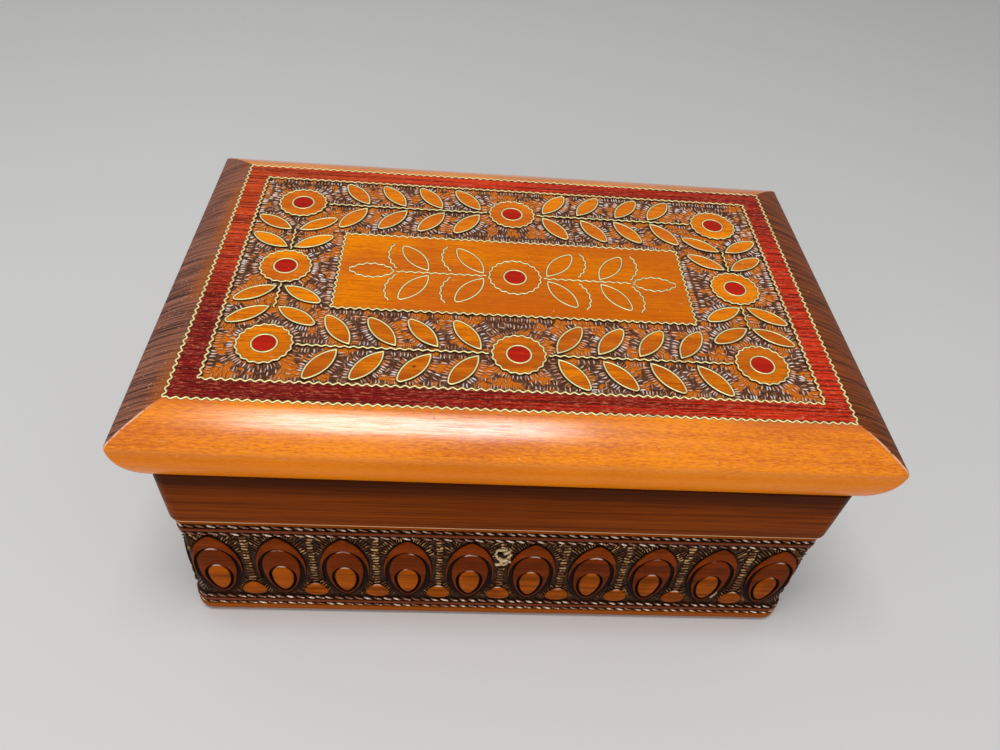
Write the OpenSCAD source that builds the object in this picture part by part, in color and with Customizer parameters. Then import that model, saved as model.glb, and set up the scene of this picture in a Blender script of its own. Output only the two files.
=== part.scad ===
// Inlaid wooden jewelry box with a carved base, a heavy moulded lid and two butt hinges.
// Millimetres, +Z up, X along the length, Y towards the hinges.
// The origin is the middle of the underside.

/* [Base] */
// Outside length of the base, measured at its plain band
base_len = 243; // [225:1:290]
// Outside depth of the base, measured at its plain band
base_dep = 154; // [146:1:190]
// Height of the base up to its top edge
base_h = 92; // [80:1:130]
// Thickness of the four walls
wall_t = 10; // [9:0.5:14]
// Radius of the upright corners
corner_r = 5.5; // [4.5:0.5:7]
// Thickness of the bottom board
bottom_t = 6; // [4:0.5:9]
// Width of the rebate that takes the bottom board
rebate_w = 5; // [4:0.5:6]
// Play between the bottom board and its rebate
bottom_play = 0.2; // [0.1:0.05:0.5]

/* [Carved zone] */
// Height of the plain rim at the foot
rim_h = 5.6; // [4.5:0.1:8]
// Radius of the rounded foot
foot_r = 3.5; // [2:0.1:4]
// Diameter of each rope line
rope_d = 2.4; // [1.8:0.1:3]
// Ground left beside each rope line
rope_side = 0.2; // [0.1:0.05:0.5]
// Height of the plain fillet between two rope lines
fillet_h = 1.8; // [1:0.1:3]
// Height of the frieze between the rope lines
frieze_h = 40.6; // [40:0.1:46]
// Height of the plain strip over the top rope line
plain_strip_h = 1.4; // [1:0.1:3]
// How far the rim stands out past the plain band
flare_out = 1.2; // [0:0.1:2]
// How far the top of the carved zone is set in from the plain band
flare_in = 1.2; // [0.5:0.1:2]
// Depth of the carving
carve_d = 1.2; // [0.8:0.1:1.8]
// Radius of the shoulder under the plain band
shoulder_r = 3; // [2:0.1:4]

/* [Carved motif] */
// Wanted pitch of the drop motifs, fitted to each wall
motif_pitch = 24.5; // [23:0.5:28]
// Length of the outer drop
drop_l = 39.5; // [36:0.5:40]
// Width of the outer drop
drop_w = 19; // [16:0.5:20]
// Length of the middle drop
mid_l = 29.8; // [26:0.5:32]
// Width of the middle drop
mid_w = 15.5; // [13:0.5:16]
// Length of the bead in the middle
bead_l = 17.3; // [14:0.5:20]
// Width of the bead in the middle
bead_w = 9.6; // [8:0.2:11]
// Width of the cut between nested drops
cut_w = 0.8; // [0.5:0.1:1.2]
// Step from the foot of one nested drop to the next
foot_step = 1.6; // [1:0.1:2.5]
// Diameter of the small balls between the drops
ball_d = 9.4; // [7:0.2:10]

/* [Lid] */
// Thickness of the lid
lid_h = 28; // [24:0.5:36]
// How far the nose of the lid stands out past the plain band
lid_overhang = 6; // [4:0.25:8]
// Depth of the nose below the top of the lid
nose_drop = 7.8; // [6:0.1:9]
// Radius that rounds the nose
nose_r = 3; // [2:0.1:4]
// Radius of the crowned edge above the nose
crown_r = 45; // [38:1:60]
// Slope where the crowned edge leaves the flat top, in degrees
crown_slope = 15; // [13:0.5:17]
// Flat wood between the outer border wire and the start of the crowned edge
crown_gap = 1; // [0.9:0.1:1.5]
// Radius of the belly below the nose
belly_r = 35; // [33:0.5:45]
// Gap that the closed lid leaves above the walls
lid_gap = 0.2; // [0.1:0.05:0.5]

/* [Inlay layout] */
// Distance from the nose of the lid to the outer border wire
border_inset = 15.5; // [15:0.25:18]
// Width of the stained band between the two border wires
band_w = 8.6; // [7:0.2:10]
// Length of the middle panel
panel_len = 133; // [125:1:136]
// Depth of the middle panel
panel_dep = 44; // [40:0.5:46]
// How far the flowers lie outside the middle of the field, both ways
row_shift = 1.2; // [0:0.1:2]
// How far the field lies below the leaves and flowers
field_drop = 0.4; // [0.2:0.05:0.6]

/* [Inlay wire] */
// Thickness of the inlaid strips
wire_t = 0.55; // [0.4:0.05:0.7]
// Depth of the inlaid strips in the wood
wire_in = 1.6; // [1:0.1:2.5]
// How far the strips stand proud of the wood
wire_proud = 0.15; // [0.05:0.05:0.3]
// Length of one full wave of the crimped strip
crimp_pitch = 3.2; // [2.8:0.1:4]
// Half the height of the wave
crimp_a = 0.45; // [0.3:0.05:0.6]
// Play between a strip and the side of its groove
wire_play = 0.06; // [0.03:0.01:0.1]
// Gap left where one strip ends beside another
wire_gap = 0.5; // [0.3:0.05:0.8]

/* [Flowers and leaves] */
// Diameter of the flowers on the field, at the middle of the ring wire
flower_d = 18.4; // [16:0.2:19.4]
// Diameter of the flower on the panel, at the middle of the ring wire
rose_d = 19.6; // [17:0.2:21]
// Diameter of the ring round each flower centre, at the middle of its wire
eye_d = 8.6; // [7:0.2:10]
// Number of leaves on each side of each row stem
row_leaves = 4; // [3:1:4]
// Length of row stem before its first pair of leaves
row_lead = 2.6; // [2:0.2:3.4]
// Length of row stem after the feet of its last pair of leaves
row_tail = 16.8; // [16:0.2:18]
// Room between the tips of the row leaves and the inner border strip
row_clear = 1.7; // [1.2:0.1:3]
// Width of a row leaf as a share of its length
row_leaf_share = 0.385; // [0.3:0.005:0.4]
// Angle between a row leaf and its stem, in degrees
row_leaf_a = 54; // [50:1:56]
// Length of column stem before its first pair of leaves
col_lead = 1.2; // [0.8:0.1:1.4]
// Room between the tips of the column leaves and the inner border strip
col_clear = 1.6; // [1.2:0.1:3]
// Width of a column leaf as a share of its length
col_leaf_share = 0.37; // [0.3:0.005:0.39]
// Angle of a column leaf off the line across the column, in degrees
col_leaf_a = 31; // [27:1:34]
// Length of panel stem before its first pair of leaves
panel_lead = 1.4; // [1:0.1:1.8]
// Length of the panel leaves
panel_leaf_l = 17.2; // [14:0.2:18]
// Width of the panel leaves
panel_leaf_w = 6.8; // [5:0.1:7.4]
// Angle between a panel leaf and its stem, in degrees
panel_leaf_a = 55; // [50:1:60]
// Distance between the two groups of leaves on each half of the panel
group_pitch = 20.5; // [19:0.25:21.5]
// Length of the crimped bud at each end of the panel
bud_l = 17.4; // [15:0.2:17.8]
// Width of the crimped bud
bud_w = 8; // [6:0.2:9]
// How far the bud's strips stop short of its tips
bud_open = 0.6; // [0.5:0.05:0.8]
// Distance between a bud's tip and the strip of the panel border
bud_clear = 2.9; // [2.6:0.1:3.4]
// Radius of the curved tendrils
tendril_r = 12; // [11:0.2:13]
// Angle on that radius at which a tendril begins, in degrees
tendril_a = -46; // [-50:1:-42]
// Angle that a tendril turns through, in degrees
tendril_turn = 77; // [70:1:84]
// Distance along the stem from a panel leaf to the foot of its tendril
tendril_foot = 12; // [11.4:0.1:12.2]
// Gap between a tendril's foot and the stem
tendril_gap = 1.3; // [1.1:0.1:1.6]

/* [Hinges] */
// Length of each hinge
hinge_l = 30; // [24:1:36]
// Distance from each end of the base to the middle of its hinge
hinge_inset = 51.5; // [35:0.5:70]
// Width of each hinge leaf on the wood
leaf_w = 8; // [6:0.5:8.5]
// Thickness of the hinge leaves
leaf_t = 1; // [0.8:0.1:1.2]
// Outside diameter of the knuckles
knuckle_d = 4; // [3.6:0.1:4.2]
// Diameter of the hinge pins
pin_d = 2; // [1.6:0.1:2.2]
// Radial play between the pins and the knuckles
pin_play = 0.05; // [0.03:0.01:0.08]
// Gap between neighbouring knuckles
knuckle_gap = 0.15; // [0.1:0.05:0.3]
// Gap between the knuckles and the back wall
knuckle_off = 0.3; // [0.2:0.05:0.4]
// Play between each leaf and its recess in the wood
leaf_play = 0.1; // [0.05:0.05:0.2]

/* [Screws and nails] */
// Shank diameter of the hinge screws
screw_d = 2; // [1.6:0.1:2.4]
// Head diameter of the hinge screws
screw_head_d = 3.8; // [3.2:0.1:4.4]
// Length of the hinge screws
screw_l = 9; // [7:0.5:14]
// Shank diameter of the bottom nails
nail_d = 1.6; // [1.2:0.1:2]
// Head diameter of the bottom nails
nail_head_d = 3; // [2.4:0.1:3.4]
// Thickness of the nail heads
nail_head_t = 0.8; // [0.5:0.1:1.2]
// Length of the bottom nails
nail_l = 16; // [12:0.5:20]
// Distance between the outer nails of a long side, as a share of the base's length
nail_spread_x = 0.75; // [0.6:0.05:0.8]
// Distance between the two nails of a short side, as a share of the base's depth
nail_spread_y = 0.4; // [0.3:0.05:0.5]
// Play round each screw and nail
shank_play = 0.04; // [0.02:0.01:0.08]

/* [Hidden] */

$fn = 72;
// Facets of the lid's large circles
large_fn = 240;
// Cutters run this far past the faces that they open
over = 1;

wood_base = [0.45, 0.2, 0.06];
wood_lid = [0.78, 0.42, 0.1];
wood_raw = [0.8, 0.65, 0.45];
brass = [0.83, 0.72, 0.42];
steel = [0.6, 0.6, 0.6];

// Levels of the carved zone, from the foot up
rope_zone = rope_d + 2 * rope_side;
low_rope_z = rim_h;
low_fillet_z = low_rope_z + rope_zone;
next_rope_z = low_fillet_z + fillet_h;
frieze_z = next_rope_z + rope_zone;
upper_rope_z = frieze_z + frieze_h;
upper_fillet_z = upper_rope_z + rope_zone;
top_rope_z = upper_fillet_z + fillet_h;
plain_strip_z = top_rope_z + rope_zone;
carved_top = plain_strip_z + plain_strip_h;

// Levels and half sizes of the lid
lid_z = base_h + lid_gap;
nose_z = lid_h - nose_drop;
lid_half_x = base_len / 2 + lid_overhang;
lid_half_y = base_dep / 2 + lid_overhang;

// Circles of the lid's edge, with x measured outwards from the nose
belly_c = [-belly_r, nose_z];
crown_start = crown_gap - border_inset;
crown_c = [crown_start - crown_r * sin(crown_slope), lid_h - crown_r * cos(crown_slope)];
nose_c = ring_meet(crown_c, crown_r - nose_r, belly_c, belly_r - nose_r);

// Half sizes of the wire rectangles, at the middle of each wire
outer_x = lid_half_x - border_inset;
outer_y = lid_half_y - border_inset;
inner_x = outer_x - band_w;
inner_y = outer_y - band_w;
panel_x = panel_len / 2;
panel_y = panel_dep / 2;

// Places of the flowers
flower_x = (inner_x + panel_x) / 2 + row_shift;
flower_y = (inner_y + panel_y) / 2 + row_shift;

// Half widths that crimped and plain strips take up
crimp_half = crimp_a + wire_t / 2;
plain_half = wire_t / 2;
strip_h = wire_in + wire_proud;
strip_z = lid_z + lid_h - wire_in;

// Where a stem begins beside a ring of diameter d
function stem_from(d) = d / 2 + crimp_half + wire_gap;

// Room beside a stem before a leaf begins
leaf_off = crimp_half + wire_gap + plain_half + wire_play;

row_leaf_l = (inner_y - crimp_half - row_clear - flower_y - leaf_off) / sin(row_leaf_a);
row_leaf_w = row_leaf_share * row_leaf_l;
row_from = stem_from(flower_d);
row_to = flower_x - stem_from(flower_d);
row_first = row_from + row_lead;
row_pitch = (row_to - row_first - row_tail) / (row_leaves - 1);

col_leaf_l = (inner_x - crimp_half - col_clear - flower_x - leaf_off) / cos(col_leaf_a);
col_leaf_w = col_leaf_share * col_leaf_l;
col_from = stem_from(flower_d);
col_first = col_from + col_lead;
col_to = flower_y - flower_d / 2 - crimp_half - wire_gap;
// Rise of a column leaf from its foot to its tip
col_rise = col_leaf_l * sin(col_leaf_a);
col_second = col_to - col_rise;

panel_from = stem_from(rose_d);
bud_to = panel_x - crimp_half - bud_clear;
bud_from = bud_to - bud_l;
group_first = panel_from + panel_lead;
bud_r = (bud_l * bud_l + bud_w * bud_w) / (4 * bud_w);
bud_turn = asin((bud_l / 2 - bud_open) / bud_r);

// Hinge places
hinge_y = base_dep / 2 + knuckle_off + knuckle_d / 2;
hinge_z = base_h + lid_gap / 2;
hinge_x = base_len / 2 - hinge_inset;
knuckle_n = 5;
knuckle_l = hinge_l / knuckle_n;
screw_x = hinge_l / 4;
screw_y = base_dep / 2 - wall_t / 2;

// Nails are set over the rebate
nail_inset = wall_t - rebate_w / 2;
nail_x = [-1, 0, 1] * nail_spread_x * base_len / 2;
nail_y = [-1, 1] * nail_spread_y * base_dep / 2;

// The far meeting point of two circles, on the outer side
function ring_meet(p, r, q, s) =
    let (d = norm(q - p))
    let (a = (r * r - s * s + d * d) / (2 * d))
    let (h = sqrt(r * r - a * a))
    let (u = (q - p) / d)
    p + a * u + h * [u[1], -u[0]];

// Offset of the carved face from the plain band at height z
function face_at(z) = flare_out - (flare_out + flare_in) * (z - rim_h) / (carved_top - rim_h);

// Flat shapes

// A pointed leaf along Y, centred, from two arcs that meet at its tips
module leaf2d(l, w) {
    r = (l * l + w * w) / (4 * w);
    intersection() {
        translate([r - w / 2, 0]) circle(r);
        translate([w / 2 - r, 0]) circle(r);
    }
}

// A drop that stands on its point at the origin, with a round top
module drop2d(l, w) {
    r = w / 2;
    d = l - r;
    big = (d * d + r * r) / (2 * r);
    translate([0, d]) circle(r);
    translate([0, d])
        intersection() {
            translate([big - r, 0]) circle(big);
            translate([r - big, 0]) circle(big);
            translate([-r, -d]) square([w, d]);
        }
}

// The outline of a plain leaf wire, grown by g on both sides
module leaf_ring2d(l, w, g) {
    difference() {
        leaf2d(l + 2 * (plain_half + g) * l / w, w + 2 * (plain_half + g));
        leaf2d(l - 2 * (plain_half + g) * l / w, w - 2 * (plain_half + g));
    }
}

// A round ring of mean diameter d and half width h
module ring2d(d, h) {
    difference() {
        circle(d = d + 2 * h);
        circle(d = d - 2 * h);
    }
}

// A crimped ring of mean diameter d, as a zigzag closed on itself
module crimp_ring2d(d) {
    n = 2 * round(PI * d / crimp_pitch);
    step = 360 / n;
    wave = [for (i = [0:n - 1]) d / 2 + crimp_a * (i % 2 == 0 ? 1 : -1)];
    difference() {
        polygon([for (i = [0:n - 1]) (wave[i] + plain_half) * [cos(i * step), sin(i * step)]]);
        polygon([for (i = [0:n - 1]) (wave[i] - plain_half) * [cos(i * step), sin(i * step)]]);
    }
}

// A crimped strip along X from x = 0 to x = l
module crimp_line2d(l) {
    n = round(2 * l / crimp_pitch);
    wave = [for (i = [0:n]) crimp_a * (i % 2 == 0 ? 1 : -1)];
    upper = [for (i = [0:n]) [l * i / n, wave[i] + plain_half]];
    lower = [for (i = [n:-1:0]) [l * i / n, wave[i] - plain_half]];
    polygon(concat(upper, lower));
}

// A crimped strip along an arc of radius r, from angle a to angle b
module crimp_arc2d(r, a, b) {
    n = round(2 * r * (b - a) * PI / 180 / crimp_pitch);
    turn = [for (i = [0:n]) a + (b - a) * i / n];
    wave = [for (i = [0:n]) r + crimp_a * (i % 2 == 0 ? 1 : -1)];
    upper = [for (i = [0:n]) (wave[i] + plain_half) * [cos(turn[i]), sin(turn[i])]];
    lower = [for (i = [n:-1:0]) (wave[i] - plain_half) * [cos(turn[i]), sin(turn[i])]];
    polygon(concat(upper, lower));
}

// An even band of half width h along the same arc
module arc_band2d(r, a, b, h) {
    far = 2 * r;
    mid = (a + b) / 2;
    intersection() {
        ring2d(2 * r, h);
        polygon([
            [0, 0],
            far * [cos(a), sin(a)],
            far * [cos(mid), sin(mid)],
            far * [cos(b), sin(b)]
        ]);
    }
}

// An even band of half width h along X from x = 0 to x = l
module line_band2d(l, h) {
    translate([0, -h]) square([l, 2 * h]);
}

// Places that repeat

// Its child in all four quarters, mirrored from the first one
module quarters() {
    for (side = [0, 1]) mirror([side, 0, 0])
        for (row = [0, 1]) mirror([0, row, 0])
            children();
}

// Its child at both ends
module ends() {
    for (side = [0, 1]) mirror([side, 0, 0]) children();
}

// Its child at the eight flowers of the field
module at_flowers() {
    for (x = [-1, 0, 1])
        for (y = [-1, 0, 1])
            if (x != 0 || y != 0)
                translate([x * flower_x, y * flower_y]) children();
}

// Its child at each row leaf, which lies along Y with its base towards the middle flower
module at_row_leaves() {
    quarters()
        for (i = [0:row_leaves - 1])
            for (side = [-1, 1])
                translate([row_first + i * row_pitch, flower_y + side * leaf_off])
                    rotate(side > 0 ? row_leaf_a - 90 : -90 - row_leaf_a)
                        translate([0, row_leaf_l / 2 + plain_half]) children();
}

// Its child at each column leaf
module at_col_leaves() {
    quarters()
        for (y = [col_first, col_second])
            for (side = [-1, 1])
                translate([flower_x + side * leaf_off, y])
                    rotate(side > 0 ? col_leaf_a - 90 : 90 - col_leaf_a)
                        translate([0, col_leaf_l / 2]) children();
}

// Its child at each panel leaf
module at_panel_leaves() {
    quarters()
        for (i = [0, 1])
            translate([group_first + i * group_pitch, leaf_off])
                rotate(panel_leaf_a - 90)
                    translate([0, panel_leaf_l / 2]) children();
}

// Its child at the centre of each tendril's arc
module at_tendrils() {
    quarters()
        for (i = [0, 1])
            translate([
                group_first + i * group_pitch + tendril_foot - tendril_r * cos(tendril_a),
                crimp_half + tendril_gap - tendril_r * sin(tendril_a)
            ])
                children();
}

// Its child on each half of a bud, at the centre of the arc
module at_buds() {
    quarters() translate([bud_from + bud_l / 2, bud_w / 2 - bud_r]) children();
}

// Four strips of a wire rectangle, mitre-free: the long ones run past the short ones
module crimp_frame2d(x, y) {
    short = y - crimp_half - wire_gap / 2;
    long = x + crimp_half;
    ends() translate([x, -short]) rotate(90) crimp_line2d(2 * short);
    for (side = [0, 1]) mirror([0, side, 0]) translate([-long, y]) crimp_line2d(2 * long);
}

// The even groove that takes such a rectangle
module frame_groove2d(x, y, h) {
    difference() {
        square([2 * (x + h), 2 * (y + h)], center = true);
        square([2 * (x - h), 2 * (y - h)], center = true);
    }
}

// Sections

// The lid's section across one direction, with half width w at the nose
module lid_section2d(w) {
    for (side = [0, 1]) mirror([side, 0]) translate([w, 0]) lid_edge2d(w);
}

// One half of that section, with the nose at x = 0
module lid_edge2d(w) {
    crown_t = nose_c + nose_r * (nose_c - crown_c) / norm(nose_c - crown_c);
    belly_t = nose_c + nose_r * (nose_c - belly_c) / norm(nose_c - belly_c);
    // Far enough out for the wedge to reach past the nose
    far = 4 * nose_r;
    translate([-w, 0]) square([w + crown_start, lid_h]);
    difference() {
        intersection() {
            translate(crown_c) circle(crown_r, $fn = large_fn);
            translate(belly_c) circle(belly_r, $fn = large_fn);
            translate([crown_start - over, 0]) square([over - crown_start + over, lid_h]);
        }
        polygon([
            nose_c,
            nose_c + far * (crown_t - nose_c),
            nose_c + far * [1, 1],
            nose_c + far * (belly_t - nose_c)
        ]);
    }
    translate(nose_c) circle(nose_r);
}

// Section of a wall, with x outwards and the plain band's face at x = reach
module wall_section2d(reach) {
    rim_x = reach + flare_out;
    ground_low = reach + face_at(rim_h) - carve_d;
    ground_top = reach + face_at(carved_top) - carve_d;
    // Rim with its rounded foot
    square([rim_x - foot_r, rim_h]);
    translate([0, foot_r]) square([rim_x, rim_h - foot_r]);
    translate([rim_x - foot_r, foot_r]) quarter_round2d(foot_r);
    // Ground of the carving
    polygon([[0, 0], [ground_low, rim_h], [ground_top, carved_top], [0, carved_top]]);
    // Fillets between the rope lines
    for (z = [low_fillet_z, upper_fillet_z]) face_strip2d(reach, z, z + fillet_h);
    // Plain strip over the top rope line
    face_strip2d(reach, plain_strip_z, carved_top);
    // Rope lines as half rounds
    for (z = [low_rope_z, next_rope_z, upper_rope_z, top_rope_z])
        translate([reach + face_at(z + rope_zone / 2) - rope_d / 2, z + rope_zone / 2]) circle(d = rope_d);
    // Plain band over its rounded shoulder
    translate([0, carved_top]) square([reach - shoulder_r, base_h - carved_top]);
    translate([0, carved_top + shoulder_r]) square([reach, base_h - carved_top - shoulder_r]);
    translate([reach - shoulder_r, carved_top + shoulder_r]) quarter_round2d(shoulder_r);
}

// The lower outer quarter of a disc
module quarter_round2d(r) {
    intersection() {
        circle(r);
        translate([0, -r]) square(r);
    }
}

// The full face of the carved zone between two heights
module face_strip2d(reach, low, high) {
    polygon([[0, low], [reach + face_at(low), low], [reach + face_at(high), high], [0, high]]);
}

// Carved drops and balls of a wall of length l, with y up
module frieze2d(l) {
    n = round(l / motif_pitch);
    pitch = l / n;
    foot = frieze_z + (frieze_h - drop_l) / 2;
    for (i = [0:n - 1]) translate([(i + 0.5) * pitch - l / 2, foot]) motif2d();
    for (i = [1:n - 1]) translate([i * pitch - l / 2, foot + ball_d / 2]) circle(d = ball_d);
}

// One drop: a leaf-shaped outline, a drop in it, and a bead in that one
module motif2d() {
    difference() {
        translate([0, drop_l / 2]) leaf2d(drop_l, drop_w);
        translate([0, foot_step - cut_w]) drop2d(mid_l + 2 * cut_w, mid_w + 2 * cut_w);
    }
    translate([0, foot_step])
        difference() {
            drop2d(mid_l, mid_w);
            translate([0, foot_step - cut_w]) drop2d(bead_l + 2 * cut_w, bead_w + 2 * cut_w);
        }
    translate([0, 2 * foot_step]) drop2d(bead_l, bead_w);
}

// Solids

// A mitred wall of length l, with its plain band's face on y = 0 and its outside towards +Y
module wall(l) {
    difference() {
        union() {
            wall_shape(l) {
                wall_section2d(wall_t);
                wall_section2d(corner_r);
            }
            intersection() {
                wall_shape(l) {
                    face_strip2d(wall_t, frieze_z, upper_rope_z);
                    face_strip2d(corner_r, frieze_z, upper_rope_z);
                }
                translate([0, flare_out + over, 0])
                    rotate([90, 0, 0])
                        linear_extrude(flare_out + over + flare_in + carve_d + over) frieze2d(l);
            }
        }
        // Rebate for the bottom board
        translate([-l / 2, -wall_t - over, -over]) cube([l, rebate_w + over, bottom_t + over]);
    }
}

// A wall's body: its first child's section along the run, and its second's round both corners
module wall_shape(l) {
    run = l / 2 - corner_r;
    intersection() {
        translate([-run, -wall_t, 0]) rotate([90, 0, 90]) linear_extrude(2 * run) children(0);
        linear_extrude(base_h)
            polygon([
                [-l / 2 - wall_t, wall_t],
                [l / 2 + wall_t, wall_t],
                [l / 2 - wall_t, -wall_t],
                [wall_t - l / 2, -wall_t]
            ]);
    }
    for (side = [0, 1]) mirror([side, 0, 0])
        translate([-run, -corner_r, 0]) rotate([0, 0, 90]) rotate_extrude(angle = 45) children(1);
}

module front_wall() {
    color(wood_base)
        difference() {
            rotate([0, 0, 180]) translate([0, base_dep / 2, 0]) wall(base_len);
            nails(shank_play);
        }
}

module back_wall() {
    color(wood_base)
        difference() {
            translate([0, base_dep / 2, 0]) wall(base_len);
            hinge_recesses(base_h - leaf_t, leaf_t + over);
            hinge_screws(-1, shank_play);
            nails(shank_play);
        }
}

module left_wall() {
    end_wall(90);
}

module right_wall() {
    end_wall(-90);
}

// A short wall, turned to its end of the base
module end_wall(turn) {
    color(wood_base)
        difference() {
            rotate([0, 0, turn]) translate([0, base_len / 2, 0]) wall(base_dep);
            nails(shank_play);
        }
}

module bottom_board() {
    inset = wall_t - rebate_w + bottom_play;
    color(wood_raw)
        difference() {
            translate([inset - base_len / 2, inset - base_dep / 2, 0])
                cube([base_len - 2 * inset, base_dep - 2 * inset, bottom_t]);
            nails(shank_play);
        }
}

// Recesses for the hinge leaves, open at the back
module hinge_recesses(z, h) {
    for (side = [-1, 1])
        translate([side * hinge_x - hinge_l / 2 - leaf_play, base_dep / 2 - leaf_w - leaf_play, z])
            cube([hinge_l + 2 * leaf_play, leaf_w + leaf_play + over + lid_overhang, h]);
}

module lid_board() {
    color(wood_lid)
        difference() {
            translate([0, 0, lid_z])
                intersection() {
                    translate([-lid_half_x, 0, 0]) rotate([90, 0, 90])
                        linear_extrude(2 * lid_half_x) lid_section2d(lid_half_y);
                    translate([0, lid_half_y, 0]) rotate([90, 0, 0])
                        linear_extrude(2 * lid_half_y) lid_section2d(lid_half_x);
                }
            translate([0, 0, strip_z]) linear_extrude(wire_in + over) grooves2d();
            translate([0, 0, lid_z + lid_h - field_drop]) linear_extrude(field_drop + over) field2d();
            hinge_recesses(lid_z - over, leaf_t + over);
            hinge_screws(1, shank_play);
        }
}

// The punched field, left lower round the leaves and flowers
module field2d() {
    difference() {
        square([2 * inner_x, 2 * inner_y], center = true);
        square([panel_len, panel_dep], center = true);
        at_flowers() circle(d = flower_d);
        at_row_leaves() leaf2d(row_leaf_l, row_leaf_w);
        at_col_leaves() leaf2d(col_leaf_l, col_leaf_w);
    }
}

// Grooves for all the strips
module grooves2d() {
    h = crimp_half + wire_play;
    frame_groove2d(outer_x, outer_y, h);
    frame_groove2d(inner_x, inner_y, h);
    frame_groove2d(panel_x, panel_y, h);
    at_flowers() ring2d(flower_d, h);
    ring2d(rose_d, h);
    at_flowers() ring2d(eye_d, plain_half + wire_play);
    ring2d(eye_d, plain_half + wire_play);
    at_row_leaves() leaf_ring2d(row_leaf_l, row_leaf_w, wire_play);
    at_col_leaves() leaf_ring2d(col_leaf_l, col_leaf_w, wire_play);
    at_panel_leaves() leaf_ring2d(panel_leaf_l, panel_leaf_w, wire_play);
    quarters() translate([row_from, flower_y]) line_band2d(row_to - row_from, h);
    quarters() translate([flower_x, col_from]) rotate(90) line_band2d(col_second - col_from, h);
    ends() translate([panel_from, 0]) line_band2d(bud_from - wire_gap - panel_from, h);
    at_tendrils() arc_band2d(tendril_r, tendril_a, tendril_a + tendril_turn, h);
    at_buds() arc_band2d(bud_r, 90 - bud_turn, 90 + bud_turn, h);
}

// Raises flat strips to their height in the grooves
module strips() {
    color(brass) translate([0, 0, strip_z]) linear_extrude(strip_h) children();
}

module outer_border_wire() {
    strips() crimp_frame2d(outer_x, outer_y);
}

module inner_border_wire() {
    strips() crimp_frame2d(inner_x, inner_y);
}

module panel_border_wire() {
    strips() crimp_frame2d(panel_x, panel_y);
}

module row_stem_wires() {
    strips() quarters() translate([row_from, flower_y]) crimp_line2d(row_to - row_from);
}

module row_leaf_wires() {
    strips() at_row_leaves() leaf_ring2d(row_leaf_l, row_leaf_w, 0);
}

module column_stem_wires() {
    strips() quarters() translate([flower_x, col_from]) rotate(90) crimp_line2d(col_second - col_from);
}

module column_leaf_wires() {
    strips() at_col_leaves() leaf_ring2d(col_leaf_l, col_leaf_w, 0);
}

module flower_ring_wires() {
    strips() {
        at_flowers() crimp_ring2d(flower_d);
        crimp_ring2d(rose_d);
    }
}

module flower_eye_wires() {
    strips() {
        at_flowers() ring2d(eye_d, plain_half);
        ring2d(eye_d, plain_half);
    }
}

module panel_stem_wires() {
    strips() ends() translate([panel_from, 0]) crimp_line2d(bud_from - wire_gap - panel_from);
}

module panel_leaf_wires() {
    strips() at_panel_leaves() leaf_ring2d(panel_leaf_l, panel_leaf_w, 0);
}

module panel_tendril_wires() {
    strips() at_tendrils() crimp_arc2d(tendril_r, tendril_a, tendril_a + tendril_turn);
}

module panel_bud_wires() {
    strips() at_buds() crimp_arc2d(bud_r, 90 - bud_turn, 90 + bud_turn);
}

// A hinge leaf with its knuckles: dir is 1 for the lid's leaf and -1 for the base's
module hinge_leaf(dir) {
    mine = dir > 0 ? [1, 3] : [0, 2, 4];
    inner = hinge_y - base_dep / 2;
    flat_z = dir * lid_gap / 2;
    color(brass)
        difference() {
            union() {
                translate([-hinge_l / 2, -inner - leaf_w, dir > 0 ? flat_z : flat_z - leaf_t])
                    cube([hinge_l, leaf_w, leaf_t]);
                for (i = mine)
                    translate([i * knuckle_l - hinge_l / 2 + knuckle_gap / 2, 0, 0]) {
                        translate([0, -inner - over, dir > 0 ? flat_z : flat_z - leaf_t])
                            cube([knuckle_l - knuckle_gap, inner + over, leaf_t]);
                        rotate([0, 90, 0]) cylinder(d = knuckle_d, h = knuckle_l - knuckle_gap);
                    }
            }
            translate([-hinge_l / 2 - over, 0, 0])
                rotate([0, 90, 0]) cylinder(d = pin_d + 2 * pin_play, h = hinge_l + 2 * over);
            for (side = [-1, 1])
                translate([side * screw_x, screw_y - hinge_y, flat_z])
                    mirror([0, 0, dir > 0 ? 1 : 0]) screw_shape(shank_play);
        }
}

// A countersunk screw that points down from its flat head at z = 0, grown by g
module screw_shape(g) {
    head_t = (screw_head_d - screw_d) / 2;
    translate([0, 0, -screw_l]) cylinder(d = screw_d + 2 * g, h = screw_l);
    translate([0, 0, -head_t]) cylinder(d1 = screw_d + 2 * g, d2 = screw_head_d + 2 * g, h = head_t);
}

// Its child at the axis of one hinge
module hinge_at(side) {
    translate([side * hinge_x, hinge_y, hinge_z]) children();
}

module lid_hinge_leaf_left() {
    hinge_at(-1) hinge_leaf(1);
}

module lid_hinge_leaf_right() {
    hinge_at(1) hinge_leaf(1);
}

module base_hinge_leaf_left() {
    hinge_at(-1) hinge_leaf(-1);
}

module base_hinge_leaf_right() {
    hinge_at(1) hinge_leaf(-1);
}

module hinge_pin() {
    color(steel) translate([-hinge_l / 2, 0, 0]) rotate([0, 90, 0]) cylinder(d = pin_d, h = hinge_l);
}

module hinge_pin_left() {
    hinge_at(-1) hinge_pin();
}

module hinge_pin_right() {
    hinge_at(1) hinge_pin();
}

// Screws of one side of the hinges: dir is 1 for the lid and -1 for the base
module hinge_screws(dir, g) {
    for (hinge = [-1, 1])
        for (side = [-1, 1])
            translate([hinge * hinge_x + side * screw_x, screw_y, hinge_z + dir * lid_gap / 2])
                mirror([0, 0, dir > 0 ? 1 : 0]) screw_shape(g);
}

module lid_hinge_screws() {
    color(brass) hinge_screws(1, 0);
}

module base_hinge_screws() {
    color(brass) hinge_screws(-1, 0);
}

module bottom_nails() {
    color(steel) nails(0);
}

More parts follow.
